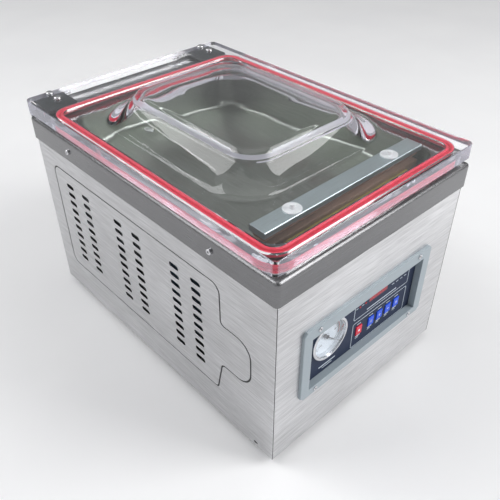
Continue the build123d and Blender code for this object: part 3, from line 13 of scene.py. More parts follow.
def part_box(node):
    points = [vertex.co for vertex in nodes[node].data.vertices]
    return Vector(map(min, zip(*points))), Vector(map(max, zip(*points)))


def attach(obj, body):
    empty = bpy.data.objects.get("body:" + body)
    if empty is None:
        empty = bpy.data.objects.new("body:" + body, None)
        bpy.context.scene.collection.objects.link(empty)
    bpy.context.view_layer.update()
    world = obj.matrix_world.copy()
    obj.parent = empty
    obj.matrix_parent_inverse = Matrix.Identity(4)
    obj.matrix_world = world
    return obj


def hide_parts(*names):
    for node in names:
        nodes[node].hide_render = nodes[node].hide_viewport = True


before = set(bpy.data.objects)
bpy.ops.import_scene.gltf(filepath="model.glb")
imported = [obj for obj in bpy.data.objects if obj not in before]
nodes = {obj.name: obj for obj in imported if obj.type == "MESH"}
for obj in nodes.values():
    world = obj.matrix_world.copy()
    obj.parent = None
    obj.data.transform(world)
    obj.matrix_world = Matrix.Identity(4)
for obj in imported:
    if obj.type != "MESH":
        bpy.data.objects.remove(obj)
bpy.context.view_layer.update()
scene = bpy.context.scene

# ---------------------------------------------------------------- camera
# A normal lens on a stand beyond the left front corner. It looks down over the lid, so that
# the front, the left side and the inside of the chamber are all seen.
camera_lens = bpy.data.cameras.new("camera")
camera_lens.sensor_width = 36.0
camera_lens.lens = 43.84
camera = bpy.data.objects.new("camera", camera_lens)
camera.location = (-0.4788, -0.5467, 0.6774)
camera.rotation_euler = (radians(52.10), radians(0.17), radians(-42.82))
scene.collection.objects.link(camera)
scene.camera = camera


# ---------------------------------------------------------------- studio lamps
# Cloth softboxes over the right front, over the lid, behind on the left and, weaker, beside
# it, so the left side falls into half shade; thin tubes draw lines over the dome's foot.
def softbox(name, place, target, width, height, power, tint=(1, 1, 1)):
    """Cloth-fronted lamp of that width and height in metres, aimed at a point."""
    lamp = bpy.data.lights.new(name, "AREA")
    lamp.shape = "RECTANGLE"
    lamp.size = width
    lamp.size_y = height
    lamp.energy = power
    lamp.color = tint
    stand = bpy.data.objects.new(name, lamp)
    stand.location = place
    aim = Vector(target) - Vector(place)
    stand.rotation_euler = aim.to_track_quat("-Z", "Y").to_euler()
    scene.collection.objects.link(stand)


softbox("front_softbox", (1.25, -1.75, 1.75), (0.05, -0.1, 0.15), 1.3, 1.6, 42)
softbox("top_softbox", (0.1, 0.35, 2.1), (0, 0, 0.3), 1.8, 1.5, 5)
softbox("back_softbox", (-1.5, 1.5, 2.2), (-0.2, 0.3, 0.1), 1.7, 1.3, 32)
softbox("back_tube", (-0.75, 1.7, 1.5), (-0.1, 0.0, 0.32), 0.04, 1.2, 0.9)
softbox("second_back_tube", (-1.2, 1.45, 1.2), (-0.1, 0.0, 0.32), 0.03, 1.0, 0.7)
softbox("side_tube", (1.25, 0.0, 2.25), (0.0, -0.1, 0.32), 0.014, 0.9, 0.22)
softbox("left_fill", (-1.9, -0.2, 0.9), (-0.1, 0, 0.15), 0.5, 1.0, 2, (0.94, 0.97, 1.0))

# The room itself is pale overhead and on the right, and darker low on the left.
PALE_SIDE = (0.45, -0.25, 0.75)
WALL_TONES = ((0.0, 0.12), (0.42, 0.22), (0.62, 0.72), (1.0, 0.95))
ROOM_STRENGTH = 0.42
studio = bpy.data.worlds.new("studio")
scene.world = studio
studio.use_nodes = True
room = studio.node_tree
directions = room.nodes.new("ShaderNodeTexCoord")
towards_light = room.nodes.new("ShaderNodeVectorMath")
towards_light.operation = "DOT_PRODUCT"
towards_light.inputs[1].default_value = PALE_SIDE
walls = room.nodes.new("ShaderNodeValToRGB")
for position, value in WALL_TONES:
    if position in (0.0, 1.0):
        stop = walls.color_ramp.elements[int(position)]
    else:
        stop = walls.color_ramp.elements.new(position)
    stop.color = (value * 0.97, value * 0.98, value * 1.0, 1)
half = room.nodes.new("ShaderNodeMath")
half.operation = "MULTIPLY_ADD"
half.inputs[1].default_value = 0.5
half.inputs[2].default_value = 0.5
room.links.new(directions.outputs["Generated"], towards_light.inputs[0])
room.links.new(towards_light.outputs["Value"], half.inputs[0])
room.links.new(half.outputs["Value"], walls.inputs["Fac"])
room.links.new(walls.outputs["Color"], room.nodes["Background"].inputs["Color"])
room.nodes["Background"].inputs["Strength"].default_value = ROOM_STRENGTH
scene.view_settings.view_transform = "Standard"


# ---------------------------------------------------------------- floor
# A plain pale table with a matt, faintly cloudy top, wide enough to run out of every view
# from above; the machine stands on it and it isn't part of the machine.
def new_material(name):
    """Material with its node tree and its Principled shader."""
    material = bpy.data.materials.new(name)
    material.use_nodes = True
    tree = material.node_tree
    return material, tree, tree.nodes["Principled BSDF"]


def grain(tree, stretch, detail=3.0):
    """Noise on object coordinates; stretch gives its patches per metre along X, Y and Z."""
    coordinates = tree.nodes.new("ShaderNodeTexCoord")
    mapping = tree.nodes.new("ShaderNodeMapping")
    mapping.inputs["Scale"].default_value = stretch
    pattern = tree.nodes.new("ShaderNodeTexNoise")
    pattern.inputs["Scale"].default_value = 1.0
    pattern.inputs["Detail"].default_value = detail
    pattern.inputs["Roughness"].default_value = 0.55
    tree.links.new(coordinates.outputs["Object"], mapping.inputs["Vector"])
    tree.links.new(mapping.outputs["Vector"], pattern.inputs["Vector"])
    return pattern.outputs["Fac"]


def spread(tree, value, low, high, at=(0.3, 0.7)):
    """Turns a pattern's value into numbers from low to high."""
    node = tree.nodes.new("ShaderNodeMapRange")
    node.inputs["From Min"].default_value, node.inputs["From Max"].default_value = at
    node.inputs["To Min"].default_value = low
    node.inputs["To Max"].default_value = high
    tree.links.new(value, node.inputs["Value"])
    return node.outputs["Result"]


def shade(tree, value, dark, light, at=(0.3, 0.7)):
    """Colours a pattern from dark to light."""
    ramp = tree.nodes.new("ShaderNodeValToRGB")
    ramp.color_ramp.elements[0].position, ramp.color_ramp.elements[1].position = at
    ramp.color_ramp.elements[0].color = (*dark, 1)
    ramp.color_ramp.elements[1].color = (*light, 1)
    tree.links.new(value, ramp.inputs["Fac"])
    return ramp.outputs["Color"]


def relief(tree, value, depth, normal=None):
    """Bump of that depth in metres; normal carries an earlier bump or a rounded edge."""
    bump = tree.nodes.new("ShaderNodeBump")
    bump.inputs["Strength"].default_value = 1.0
    bump.inputs["Distance"].default_value = depth
    tree.links.new(value, bump.inputs["Height"])
    if normal is not None:
        tree.links.new(normal, bump.inputs["Normal"])
    return bump.outputs["Normal"]


def soft_edge(tree, radius):
    """Normal that is rounded over hard edges."""
    bevel = tree.nodes.new("ShaderNodeBevel")
    bevel.samples = 4
    bevel.inputs["Radius"].default_value = radius
    return bevel.outputs["Normal"]


def tinted(colour, factor):
    """Colour made lighter or darker by a factor."""
    return tuple(channel * factor for channel in colour)


table_top, tree, bsdf = new_material("table_top")
cloudy = grain(tree, (3.0, 3.0, 3.0))
tree.links.new(shade(tree, cloudy, (0.90, 0.90, 0.91), (0.94, 0.94, 0.945)),
               bsdf.inputs["Base Color"])
bsdf.inputs["Roughness"].default_value = 0.75
TABLE_REACH = 6.0
bm = bmesh.new()
bmesh.ops.create_grid(bm, x_segments=1, y_segments=1, size=TABLE_REACH)
floor_mesh = bpy.data.meshes.new("floor")
bm.to_mesh(floor_mesh)
bm.free()
floor_mesh.materials.append(table_top)
floor = bpy.data.objects.new("floor", floor_mesh)
scene.collection.objects.link(floor)


# ---------------------------------------------------------------- feet and base pan
# Four moulded rubber feet on studs, and the folded zinc-plated pan that carries the pump,
# the transformer and the four sheets of the cabinet.
def moulded(name, colour, roughness, metallic=0.0, patch=260.0, variation=0.10,
            depth=0.00004, edge=0.0003, coat=0.0):
    """Even finish with a fine mottle, a slight relief and rounded edges."""
    material, tree, bsdf = new_material(name)
    mottle = grain(tree, (patch, patch, patch))
    tone = shade(tree, mottle, tinted(colour, 1 - variation), tinted(colour, 1 + variation))
    tree.links.new(tone, bsdf.inputs["Base Color"])
    tree.links.new(spread(tree, mottle, roughness - 0.04, roughness + 0.05),
                   bsdf.inputs["Roughness"])
    bsdf.inputs["Metallic"].default_value = metallic
    bsdf.inputs["Coat Weight"].default_value = coat
    tree.links.new(relief(tree, mottle, depth, soft_edge(tree, edge)), bsdf.inputs["Normal"])
    return material


def coat_nodes(material, *names):
    """Gives CAD nodes their finish."""
    for name in names:
        nodes[name].material_slots[0].material = material


coat_nodes(moulded("foot_rubber", (0.025, 0.025, 0.027), 0.75, edge=0.0008), "rubber_feet")
coat_nodes(moulded("zinc_plate", (0.55, 0.56, 0.58), 0.42, metallic=0.9, patch=60.0,
                   variation=0.16), "base_pan")


# ---------------------------------------------------------------- cabinet sheets
# Folded 1.5 mm stainless sheets with a belt finish: the scratches run across the front and
# the back, and from front to back on the sides.
HAIRS_ACROSS = 800.0
HAIRS_ALONG = 30.0
STREAKS_ACROSS = 340.0
STREAKS_ALONG = 11.0
STREAK_SHARE = 0.35
CLOUD_SHARE = 0.22
SCRATCH_DEPTH = 0.000035


def brushed(name, colour, along, roughness, contrast=0.22, edge=0.0006, metallic=1.0,
            sunk_below=None):
    """Steel with fine parallel scratches along the axes given: 0, 1 or 2 for X, Y or Z.

    Where a side sheet lies nearer the middle than sunk_below it is painted dark: painted shade at
    the bottom of its pressed line and on the cut walls of its slots.
    """
    material, tree, bsdf = new_material(name)
    hairs = [HAIRS_ALONG if axis in along else HAIRS_ACROSS for axis in range(3)]
    streaks = [STREAKS_ALONG if axis in along else STREAKS_ACROSS for axis in range(3)]
    fine = grain(tree, hairs, detail=2.0)
    broad = grain(tree, streaks, detail=2.0)
    slow = grain(tree, (7.0, 5.0, 9.0), detail=1.0)
    both = tree.nodes.new("ShaderNodeMix")
    both.inputs["Factor"].default_value = STREAK_SHARE
    tree.links.new(fine, both.inputs["A"])
    tree.links.new(broad, both.inputs["B"])
    scratches = both.outputs["Result"]
    layers = tree.nodes.new("ShaderNodeMix")
    layers.inputs["Factor"].default_value = CLOUD_SHARE
    tree.links.new(scratches, layers.inputs["A"])
    tree.links.new(slow, layers.inputs["B"])
    tone = shade(tree, layers.outputs["Result"], tinted(colour, 1 - contrast),
                 tinted(colour, 1 + contrast), (0.36, 0.64))
    # Painted shade: the pressed line's bottom and the slots' cut walls are coloured near black.
    if sunk_below is not None:
        coordinates = tree.nodes.new("ShaderNodeTexCoord")
        parts = tree.nodes.new("ShaderNodeSeparateXYZ")
        aside = tree.nodes.new("ShaderNodeMath")
        aside.operation = "ABSOLUTE"
        tree.links.new(coordinates.outputs["Object"], parts.inputs["Vector"])
        tree.links.new(parts.outputs["X"], aside.inputs[0])
        groove_shade = tree.nodes.new("ShaderNodeMix")
        groove_shade.data_type = "RGBA"
        groove_shade.inputs["A"].default_value = (*tinted(colour, 0.10), 1)
        tree.links.new(spread(tree, aside.outputs["Value"], 0.0, 1.0,
                              (sunk_below - 0.0001, sunk_below)), groove_shade.inputs["Factor"])
        tree.links.new(tone, groove_shade.inputs["B"])
        tone = groove_shade.outputs["Result"]
    tree.links.new(tone, bsdf.inputs["Base Color"])
    tree.links.new(spread(tree, scratches, roughness - 0.07, roughness + 0.09),
                   bsdf.inputs["Roughness"])
    bsdf.inputs["Metallic"].default_value = metallic
    tree.links.new(relief(tree, scratches, SCRATCH_DEPTH, soft_edge(tree, edge)),
                   bsdf.inputs["Normal"])
    return material


coat_nodes(brushed("front_steel", (0.70, 0.70, 0.71), (0,), 0.38), "front_panel", "back_panel")
sheet_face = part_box("side_panel_right")[1].x
# Painted shade: the side sheets are coloured near black this far inside their face.
PRESSED_LINE = 0.0005
# Painted shade: the side sheets are the front's steel, coloured darker (0.60 against 0.70) for the
# half shade they stand in.
coat_nodes(brushed("shaded_side_steel", (0.60, 0.60, 0.61), (1,), 0.40,
                   sunk_below=sheet_face - PRESSED_LINE),
           "side_panel_left", "side_panel_right")
screw_steel = moulded("screw_steel", (0.66, 0.66, 0.68), 0.22, metallic=1.0, patch=900.0,
                      variation=0.08, edge=0.0002)
coat_nodes(screw_steel, "cabinet_screws")


# ---------------------------------------------------------------- top deck
# A pressed stainless cover, polished darker than the sheets, with a rounded edge and a skirt
# that laps over the cabinet and is screwed to it.
coat_nodes(brushed("deck_steel", (0.21, 0.21, 0.215), (0, 1), 0.22, contrast=0.09, edge=0.003),
           "top_deck")


# ---------------------------------------------------------------- chamber tub and port
# A deep-drawn stainless tub with a dull grey-green satin finish, and the suction fitting
# through its floor, a turned flange with six small holes.
coat_nodes(brushed("tub_steel", (0.27, 0.29, 0.26), (1,), 0.36, contrast=0.14, edge=0.001),
           "chamber_basin")
coat_nodes(screw_steel, "chamber_port")


# ---------------------------------------------------------------- seal bar
# A mill-finish aluminium bar on two ground rods, with a nichrome band along its top, covered
# by heat-proof glass cloth that an olive-plated strip clamps along the front.
mill_aluminium = brushed("mill_aluminium", (0.60, 0.61, 0.62), (0,), 0.34)
ground_steel = moulded("ground_steel", (0.62, 0.62, 0.64), 0.2, metallic=1.0, patch=500.0)
coat_nodes(mill_aluminium, "seal_bar")
coat_nodes(moulded("nichrome_band", (0.32, 0.30, 0.27), 0.4, metallic=0.9), "heating_band")
coat_nodes(ground_steel, "lift_rods")
coat_nodes(brushed("olive_plate", (0.50, 0.41, 0.09), (0,), 0.42, metallic=0.4), "clamp_strip")
coat_nodes(screw_steel, "clamp_screws")

THREAD_PITCH = 0.0009
glass_cloth, tree, bsdf = new_material("glass_cloth")
coordinates = tree.nodes.new("ShaderNodeTexCoord")
parts = tree.nodes.new("ShaderNodeSeparateXYZ")
around = tree.nodes.new("ShaderNodeMath")
tree.links.new(coordinates.outputs["Object"], parts.inputs["Vector"])
tree.links.new(parts.outputs["Y"], around.inputs[0])
tree.links.new(parts.outputs["Z"], around.inputs[1])
threads = []
for source in (parts.outputs["X"], around.outputs["Value"]):
    turns = tree.nodes.new("ShaderNodeMath")
    turns.operation = "MULTIPLY"
    turns.inputs[1].default_value = 2 * pi / THREAD_PITCH
    wave = tree.nodes.new("ShaderNodeMath")
    wave.operation = "SINE"
    tree.links.new(source, turns.inputs[0])
    tree.links.new(turns.outputs["Value"], wave.inputs[0])
    threads.append(wave.outputs["Value"])
weave = tree.nodes.new("ShaderNodeMath")
weave.operation = "MULTIPLY"
tree.links.new(threads[0], weave.inputs[0])
tree.links.new(threads[1], weave.inputs[1])
tree.links.new(shade(tree, weave.outputs["Value"], (0.22, 0.13, 0.09), (0.40, 0.255, 0.18),
                     (0.0, 0.9)), bsdf.inputs["Base Color"])
bsdf.inputs["Roughness"].default_value = 0.42
tree.links.new(relief(tree, weave.outputs["Value"], 0.00008), bsdf.inputs["Normal"])


def piece(name, bm, body, *finishes, sharp=32.0):
    """Object from a finished bmesh, smooth apart from its sharp edges, riding on a body."""
    mesh = bpy.data.meshes.new(name)
    bm.to_mesh(mesh)
    bm.free()
    for material in finishes:
        mesh.materials.append(material)
    mesh.shade_smooth()
    mesh.set_sharp_from_angle(angle=radians(sharp))
    made = bpy.data.objects.new(name, mesh)
    scene.collection.objects.link(made)
    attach(made, body)
    return made


CLOTH_THICKNESS = 0.0003
CLOTH_FOLD = 0.0012
low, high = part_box("seal_cover")
bm = bmesh.new()
hem = [bm.verts.new((low.x, y, z)) for y, z in
       ((low.y, low.z), (low.y, high.z), (high.y, high.z), (high.y, low.z))]
folds = [bm.edges.new(pair) for pair in zip(hem, hem[1:])]
swept = bmesh.ops.extrude_edge_only(bm, edges=folds)
bmesh.ops.translate(bm, vec=(high.x - low.x, 0, 0),
                    verts=[v for v in swept["geom"] if isinstance(v, bmesh.types.BMVert)])
long_edges = [e for e in bm.edges if len(e.link_faces) == 2]
bmesh.ops.bevel(bm, geom=long_edges, offset=CLOTH_FOLD, offset_type="OFFSET", segments=4,
                profile=0.5, affect="EDGES", material=-1)
bmesh.ops.recalc_face_normals(bm, faces=bm.faces)
cloth = piece("seal_cloth", bm, "seal_bar", glass_cloth)
thickness = cloth.modifiers.new("thickness", "SOLIDIFY")
thickness.thickness = CLOTH_THICKNESS
thickness.offset = -1
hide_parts("seal_cover")


# ---------------------------------------------------------------- lift cylinders
# Two small turned cylinders under the tub push the bar's rods up when air is let under their
# pistons; brass bushes seal the rods and wound springs return them.
turned_aluminium = brushed("turned_aluminium", (0.55, 0.56, 0.57), (0, 1), 0.3)
brass = moulded("turned_brass", (0.62, 0.45, 0.17), 0.28, metallic=1.0, patch=700.0)
oiled_spring = moulded("oiled_spring", (0.30, 0.30, 0.31), 0.3, metallic=1.0, patch=600.0)
coat_nodes(turned_aluminium, "lift_cylinders")
coat_nodes(brass, "guide_bushes")
coat_nodes(oiled_spring, "return_springs", "lid_springs")


# ---------------------------------------------------------------- clear lid
# One sheet of cast acrylic, 20 mm thick, heated and blown through a frame into a flat-topped
# dome; its edges are sawn and flame polished, and a groove in its underside holds the gasket.
def clear_plastic(name, tint, roughness, transmission, wave_depth):
    """Clear plastic that lets the lamps through to what is under it."""
    material, tree, bsdf = new_material(name)
    bsdf.inputs["Transmission Weight"].default_value = transmission
    bsdf.inputs["IOR"].default_value = 1.49
    slow = grain(tree, (14.0, 14.0, 14.0), detail=1.0)
    tree.links.new(shade(tree, slow, tinted(tint, 0.985), tint), bsdf.inputs["Base Color"])
    scuffs = grain(tree, (190.0, 60.0, 120.0), detail=2.0)
    tree.links.new(spread(tree, scuffs, roughness, roughness + 0.03, (0.45, 0.8)),
                   bsdf.inputs["Roughness"])
    tree.links.new(relief(tree, slow, wave_depth), bsdf.inputs["Normal"])
    see_through = tree.nodes.new("ShaderNodeBsdfTransparent")
    see_through.inputs["Color"].default_value = (*tinted(tint, 0.94), 1)
    path = tree.nodes.new("ShaderNodeLightPath")
    both = tree.nodes.new("ShaderNodeMixShader")
    output = tree.nodes["Material Output"]
    tree.links.new(path.outputs["Is Shadow Ray"], both.inputs["Fac"])
    tree.links.new(bsdf.outputs["BSDF"], both.inputs[1])
    tree.links.new(see_through.outputs["BSDF"], both.inputs[2])
    tree.links.new(both.outputs["Shader"], output.inputs["Surface"])
    return material


def outline(bm, width, length, corner, level, centre=0.0, steps=8, cuts=0):
    """Face that is a level rounded rectangle, with the same number of points each time."""
    before = set(bm.faces)
    corners = bmesh.ops.create_grid(bm, x_segments=1, y_segments=1, size=0.5)["verts"]
    bmesh.ops.scale(bm, vec=(width, length, 1), verts=corners)
    bmesh.ops.translate(bm, vec=(0, centre, level), verts=corners)
    bmesh.ops.bevel(bm, geom=corners, offset=corner, offset_type="OFFSET", segments=steps,
                    profile=0.5, affect="VERTICES", clamp_overlap=False, material=-1)
    face = (set(bm.faces) - before).pop()
    if cuts:
        sides = sorted(face.edges, key=lambda edge: edge.calc_length())[-4:]
        bmesh.ops.subdivide_edges(bm, edges=sides, cuts=cuts)
        face = (set(bm.faces) - before).pop()
    return face


def stack(bm, faces, cap_ends=True):
    """Skin through outlines in order; the two end faces stay as caps, or the skin closes.

    The outlines are drawn well apart while they are joined, so that none lie in one plane.
    """
    rings = [list(face.edges) for face in faces]
    points = [list(face.verts) for face in faces]
    for number, verts in enumerate(points):
        bmesh.ops.translate(bm, vec=(0, 0, number), verts=verts)
    bmesh.ops.delete(bm, geom=faces[1:-1] if cap_ends else faces, context="FACES_ONLY")
    pairs = list(zip(rings, rings[1:]))
    if not cap_ends:
        pairs.append((rings[-1], rings[0]))
    for lower, upper in pairs:
        bmesh.ops.bridge_loops(bm, edges=lower + upper)
    for number, verts in enumerate(points):
        bmesh.ops.translate(bm, vec=(0, 0, -number), verts=verts)
    bmesh.ops.recalc_face_normals(bm, faces=bm.faces)


clear_acrylic = clear_plastic("clear_acrylic", (0.975, 0.98, 0.995), 0.012, 1.0, 0.0004)
# Painted reflection: the lavender tint of the edge and ring finishes stands for the pale room seen
# in them.
edge_painted_reflection = clear_plastic("edge_painted_reflection", (0.82, 0.82, 0.94), 0.04, 0.75, 0.0001)
ring_painted_reflection = clear_plastic("ring_painted_reflection", (0.86, 0.86, 0.97), 0.16, 0.62, 0.0002)

lid_low, lid_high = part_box("lid_plate")
lid_width = lid_high.x - lid_low.x
lid_length = lid_high.y - lid_low.y
lid_centre = (lid_high.y + lid_low.y) / 2
LID_THICKNESS = 0.020
LID_CHAMFER = 0.0007
LID_CORNER = 0.008
lid_under = lid_low.z
lid_top = lid_under + LID_THICKNESS
dome_top = lid_high.z
DOME_WIDTH = 0.186
DOME_LENGTH = 0.244
DOME_CENTRE = -0.008
DOME_CORNER = 0.038
DOME_RING = 0.009
DOME_WALL = 0.0075
RING_STEP = 0.006
FLARE_SIDE = 0.042
FLARE_END = 0.032
FLARE_CORNER = 0.026
FLARE_STEPS = 16
FLARE_CURVE = 1.9
RIPPLE_HEIGHT = 0.0006
RIPPLES_PER_METRE = 22.0
gasket_low, gasket_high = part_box("lid_gasket")
gasket_centre = (gasket_low.y + gasket_high.y) / 2
GASKET_BAND = 0.010
GROOVE_DEPTH = 0.006
GROOVE_CORNER = 0.024


def lid_outline(width, length, corner, level, centre=lid_centre):
    """Outline in the lid's skin, finely divided so that the foot can be curved and rippled."""
    return outline(skin, width, length, corner, level, centre, steps=10, cuts=9)


def foot_share(step):
    """How far out a step of the dome's foot lies, with the steps closer near the ring."""
    return (step / FLARE_STEPS) ** 1.25


def flare_outline(share, level, shrink=0.0):
    """Outline of the dome's foot; share runs from 1 at the flat sheet to 0 at the ring."""
    return lid_outline(DOME_WIDTH + RING_STEP + 2 * share * FLARE_SIDE - 2 * shrink,
                       DOME_LENGTH + RING_STEP + 2 * share * FLARE_END - 2 * shrink,
                       DOME_CORNER + share * FLARE_CORNER - shrink * 0.8, level, DOME_CENTRE)


# The skin starts at the flat top and runs over the ring and the foot to the plate's edge,
# under it through the gasket's groove, and up inside the dome to the ceiling.
skin = bmesh.new()
ring_low = dome_top - DOME_RING
shoulder = [(-0.016, 0.0), (-0.009, 0.0004), (-0.0045, 0.0016), (-0.0012, 0.0036),
            (0.0012, 0.0062), (0.0035, 0.0080)]
rings = []
for margin, drop in shoulder:
    rings.append(lid_outline(DOME_WIDTH + margin, DOME_LENGTH + margin, DOME_CORNER,
                             dome_top - drop, DOME_CENTRE))
for step in range(FLARE_STEPS + 1):
    share = foot_share(step)
    rise = (ring_low - lid_top) * (1 - share) ** FLARE_CURVE
    rings.append(flare_outline(share, lid_top + rise))
for inset, level in ((LID_CHAMFER, lid_top), (0, lid_top - LID_CHAMFER),
                     (0, lid_under + LID_CHAMFER), (LID_CHAMFER, lid_under)):
    rings.append(lid_outline(lid_width - 2 * inset, lid_length - 2 * inset,
                             LID_CORNER - inset, level))
groove_width = gasket_high.x - gasket_low.x
groove_length = gasket_high.y - gasket_low.y
for inset, level in ((0, lid_under), (0, lid_under + GROOVE_DEPTH),
                     (GASKET_BAND, lid_under + GROOVE_DEPTH), (GASKET_BAND, lid_under)):
    rings.append(lid_outline(groove_width - 2 * inset, groove_length - 2 * inset,
                             GROOVE_CORNER - inset, level, gasket_centre))
ceiling = dome_top - DOME_WALL
for step in range(FLARE_STEPS, -1, -1):
    share = foot_share(step)
    rise = (ring_low - DOME_WALL - lid_under) * (1 - share) ** (FLARE_CURVE - 0.3)
    rings.append(flare_outline(share, lid_under + rise, DOME_WALL * 0.85))
for margin, drop in reversed(shoulder):
    shrink = 2 * DOME_WALL
    rings.append(lid_outline(DOME_WIDTH + margin - shrink, DOME_LENGTH + margin - shrink,
                             DOME_CORNER - DOME_WALL, ceiling - drop, DOME_CENTRE))
stack(skin, rings)

# The sawn edges and the outside of the ring get a lavender, part-clouded tint, a painted
# reflection of the pale room; all else is clear.
for face in skin.faces:
    middle = face.calc_center_median()
    beside = abs(middle.x) > lid_width / 2 - LID_CHAMFER or (
        abs(middle.y - lid_centre) > lid_length / 2 - LID_CHAMFER)
    ring = ring_low - 0.001 < middle.z < dome_top - 0.0012 and abs(face.normal.z) < 0.7
    outside = middle.x * face.normal.x + (middle.y - DOME_CENTRE) * face.normal.y > 0
    face.material_index = 1 if beside else (2 if ring and outside else 0)

# Blowing leaves the dome's sheet slightly uneven.
for vert in skin.verts:
    over = vert.co.z - lid_top
    if over > 0.0015:
        swell = min(1.0, over / 0.02) * RIPPLE_HEIGHT
        vert.co.z -= swell * (0.6 + noise.noise(vert.co * RIPPLES_PER_METRE))
clear_lid = piece("clear_lid", skin, "lid", clear_acrylic, edge_painted_reflection, ring_painted_reflection, sharp=34.0)
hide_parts("lid_plate")


# ---------------------------------------------------------------- lid gasket
# A rope of red silicone, extruded with two ribs on its back and a round sealing bead below,
# joined end to end and pressed into the lid's groove.
red_silicone, tree, bsdf = new_material("red_silicone")
mottle = grain(tree, (160.0, 160.0, 160.0))
tree.links.new(shade(tree, mottle, (0.60, 0.014, 0.048), (0.76, 0.030, 0.08)),
               bsdf.inputs["Base Color"])
tree.links.new(spread(tree, mottle, 0.36, 0.46), bsdf.inputs["Roughness"])
bsdf.inputs["Subsurface Weight"].default_value = 0.1
bsdf.inputs["Subsurface Radius"].default_value = (0.004, 0.001, 0.001)
tree.links.new(relief(tree, mottle, 0.00003), bsdf.inputs["Normal"])

bm = bmesh.new()
rope_mm = [(0.2, 6.0), (0.2, 11.2), (0.8, 11.85), (2.4, 11.85), (3.2, 11.0), (3.6, 8.4),
           (6.4, 8.4), (6.8, 11.0), (7.6, 11.85), (9.2, 11.85), (9.8, 11.2), (9.8, 6.0),
           (8.8, 3.4), (7.0, 0.9), (5.0, 0.2), (3.0, 0.9), (1.2, 3.4)]
rings = []
for out, up in rope_mm:
    inset = GASKET_BAND - out / 1000
    rings.append(outline(bm, groove_width - 2 * inset, groove_length - 2 * inset,
                         GROOVE_CORNER - inset, gasket_low.z + up / 1000,
                         gasket_centre, steps=10))
stack(bm, rings, cap_ends=False)
gasket = piece("gasket_rope", bm, "lid", red_silicone, sharp=50.0)
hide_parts("lid_gasket")


# ---------------------------------------------------------------- lid hinges
# Two painted steel leaves bolted through the lid, knuckles on painted brackets, ground pins
# and wound springs that help the lid up.
hinge_paint = moulded("hinge_paint", (0.055, 0.06, 0.062), 0.38, metallic=0.2, patch=400.0,
                      variation=0.2, edge=0.0006)
coat_nodes(hinge_paint, "hinge_leaves", "hinge_brackets")
coat_nodes(ground_steel, "hinge_pins")
coat_nodes(screw_steel, "lid_bolts")


# ---------------------------------------------------------------- pressure bar
# An anodised aluminium bar screwed up into the lid through two wide washers, with a brown
# silicone pad underneath that the heated bar squeezes the bag against.
coat_nodes(brushed("anodised_bar", (0.42, 0.49, 0.50), (0,), 0.34, contrast=0.08, edge=0.0008,
                   metallic=0.85), "pressure_bar")
coat_nodes(moulded("washer_nickel", (0.74, 0.77, 0.78), 0.42, metallic=0.3, variation=0.03,
                   depth=0.00001), "bar_fixings")
coat_nodes(moulded("brown_silicone", (0.26, 0.16, 0.12), 0.6), "pressure_pad")


# ---------------------------------------------------------------- control panel frame
# A grey plastic frame with cut corners, moulded in one with the sleeve round its recess and
# held to the front sheet by four screws.
coat_nodes(moulded("bezel_plastic", (0.36, 0.42, 0.46), 0.36, patch=900.0, variation=0.05,
                   edge=0.0008, coat=0.15), "panel_bezel")
coat_nodes(screw_steel, "bezel_screws")


# ---------------------------------------------------------------- membrane
# A dark blue plate screen-printed with pale outlined fields, at the bottom of the recess; the
# ink stands a tenth of a millimetre proud.
coat_nodes(moulded("navy_print", (0.008, 0.020, 0.058), 0.62, patch=1200.0, variation=0.12),
           "membrane_panel")
pale_ink = moulded("pale_ink", (0.62, 0.70, 0.78), 0.5, patch=1500.0)
panel_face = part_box("membrane_panel")[0].y
INK = 0.00012
FIELD_LINE = 0.0009
FIELD_CORNER = 0.003
DISPLAY_FIELD_Z = 0.1675
DISPLAY_FIELD_HEIGHT = 0.036
KEY_FIELD_Z = 0.123
KEY_FIELD_HEIGHT = 0.042


def stand_up(bm, verts, x, y, z):
    """Turns a flat shape to face the front and puts it in its place."""
    bmesh.ops.rotate(bm, cent=(0, 0, 0), matrix=Matrix.Rotation(radians(90), 3, "X"), verts=verts)
    bmesh.ops.translate(bm, vec=(x, y, z), verts=verts)


def ink_patch(bm, x, z, width, height, corner=0.0002, face_y=panel_face):
    """Raised patch of ink with rounded corners."""
    before = set(bm.verts)
    face = outline(bm, width, height, corner, 0, steps=2)
    top = bmesh.ops.extrude_face_region(bm, geom=[face])["geom"]
    bmesh.ops.translate(bm, vec=(0, 0, INK),
                        verts=[v for v in top if isinstance(v, bmesh.types.BMVert)])
    verts = [v for v in bm.verts if v not in before]
    stand_up(bm, verts, x, face_y, z)


def ink_frame(bm, x, z, width, height):
    """Raised outline of ink round a field."""
    before = set(bm.verts)
    rings = []
    for inset, level in ((0, 0), (0, INK), (FIELD_LINE, INK), (FIELD_LINE, 0)):
        rings.append(outline(bm, width - 2 * inset, height - 2 * inset, FIELD_CORNER - inset,
                             level, steps=4))
    stack(bm, rings, cap_ends=False)
    stand_up(bm, [v for v in bm.verts if v not in before], x, panel_face, z)


buttons = ["button_stop", "button_key_1", "button_key_2", "button_key_3", "button_key_4"]
button_boxes = {name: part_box(name) for name in buttons}


def button_centre(name):
    """Middle of a button's cap, across and up."""
    low, high = button_boxes[name]
    return (low.x + high.x) / 2, (low.z + high.z) / 2


bm = bmesh.new()
field_left = -0.024
field_right = 0.086
field_middle = (field_left + field_right) / 2
field_width = field_right - field_left
ink_frame(bm, field_middle, DISPLAY_FIELD_Z, field_width, DISPLAY_FIELD_HEIGHT)
ink_frame(bm, field_middle, KEY_FIELD_Z, field_width, KEY_FIELD_HEIGHT)
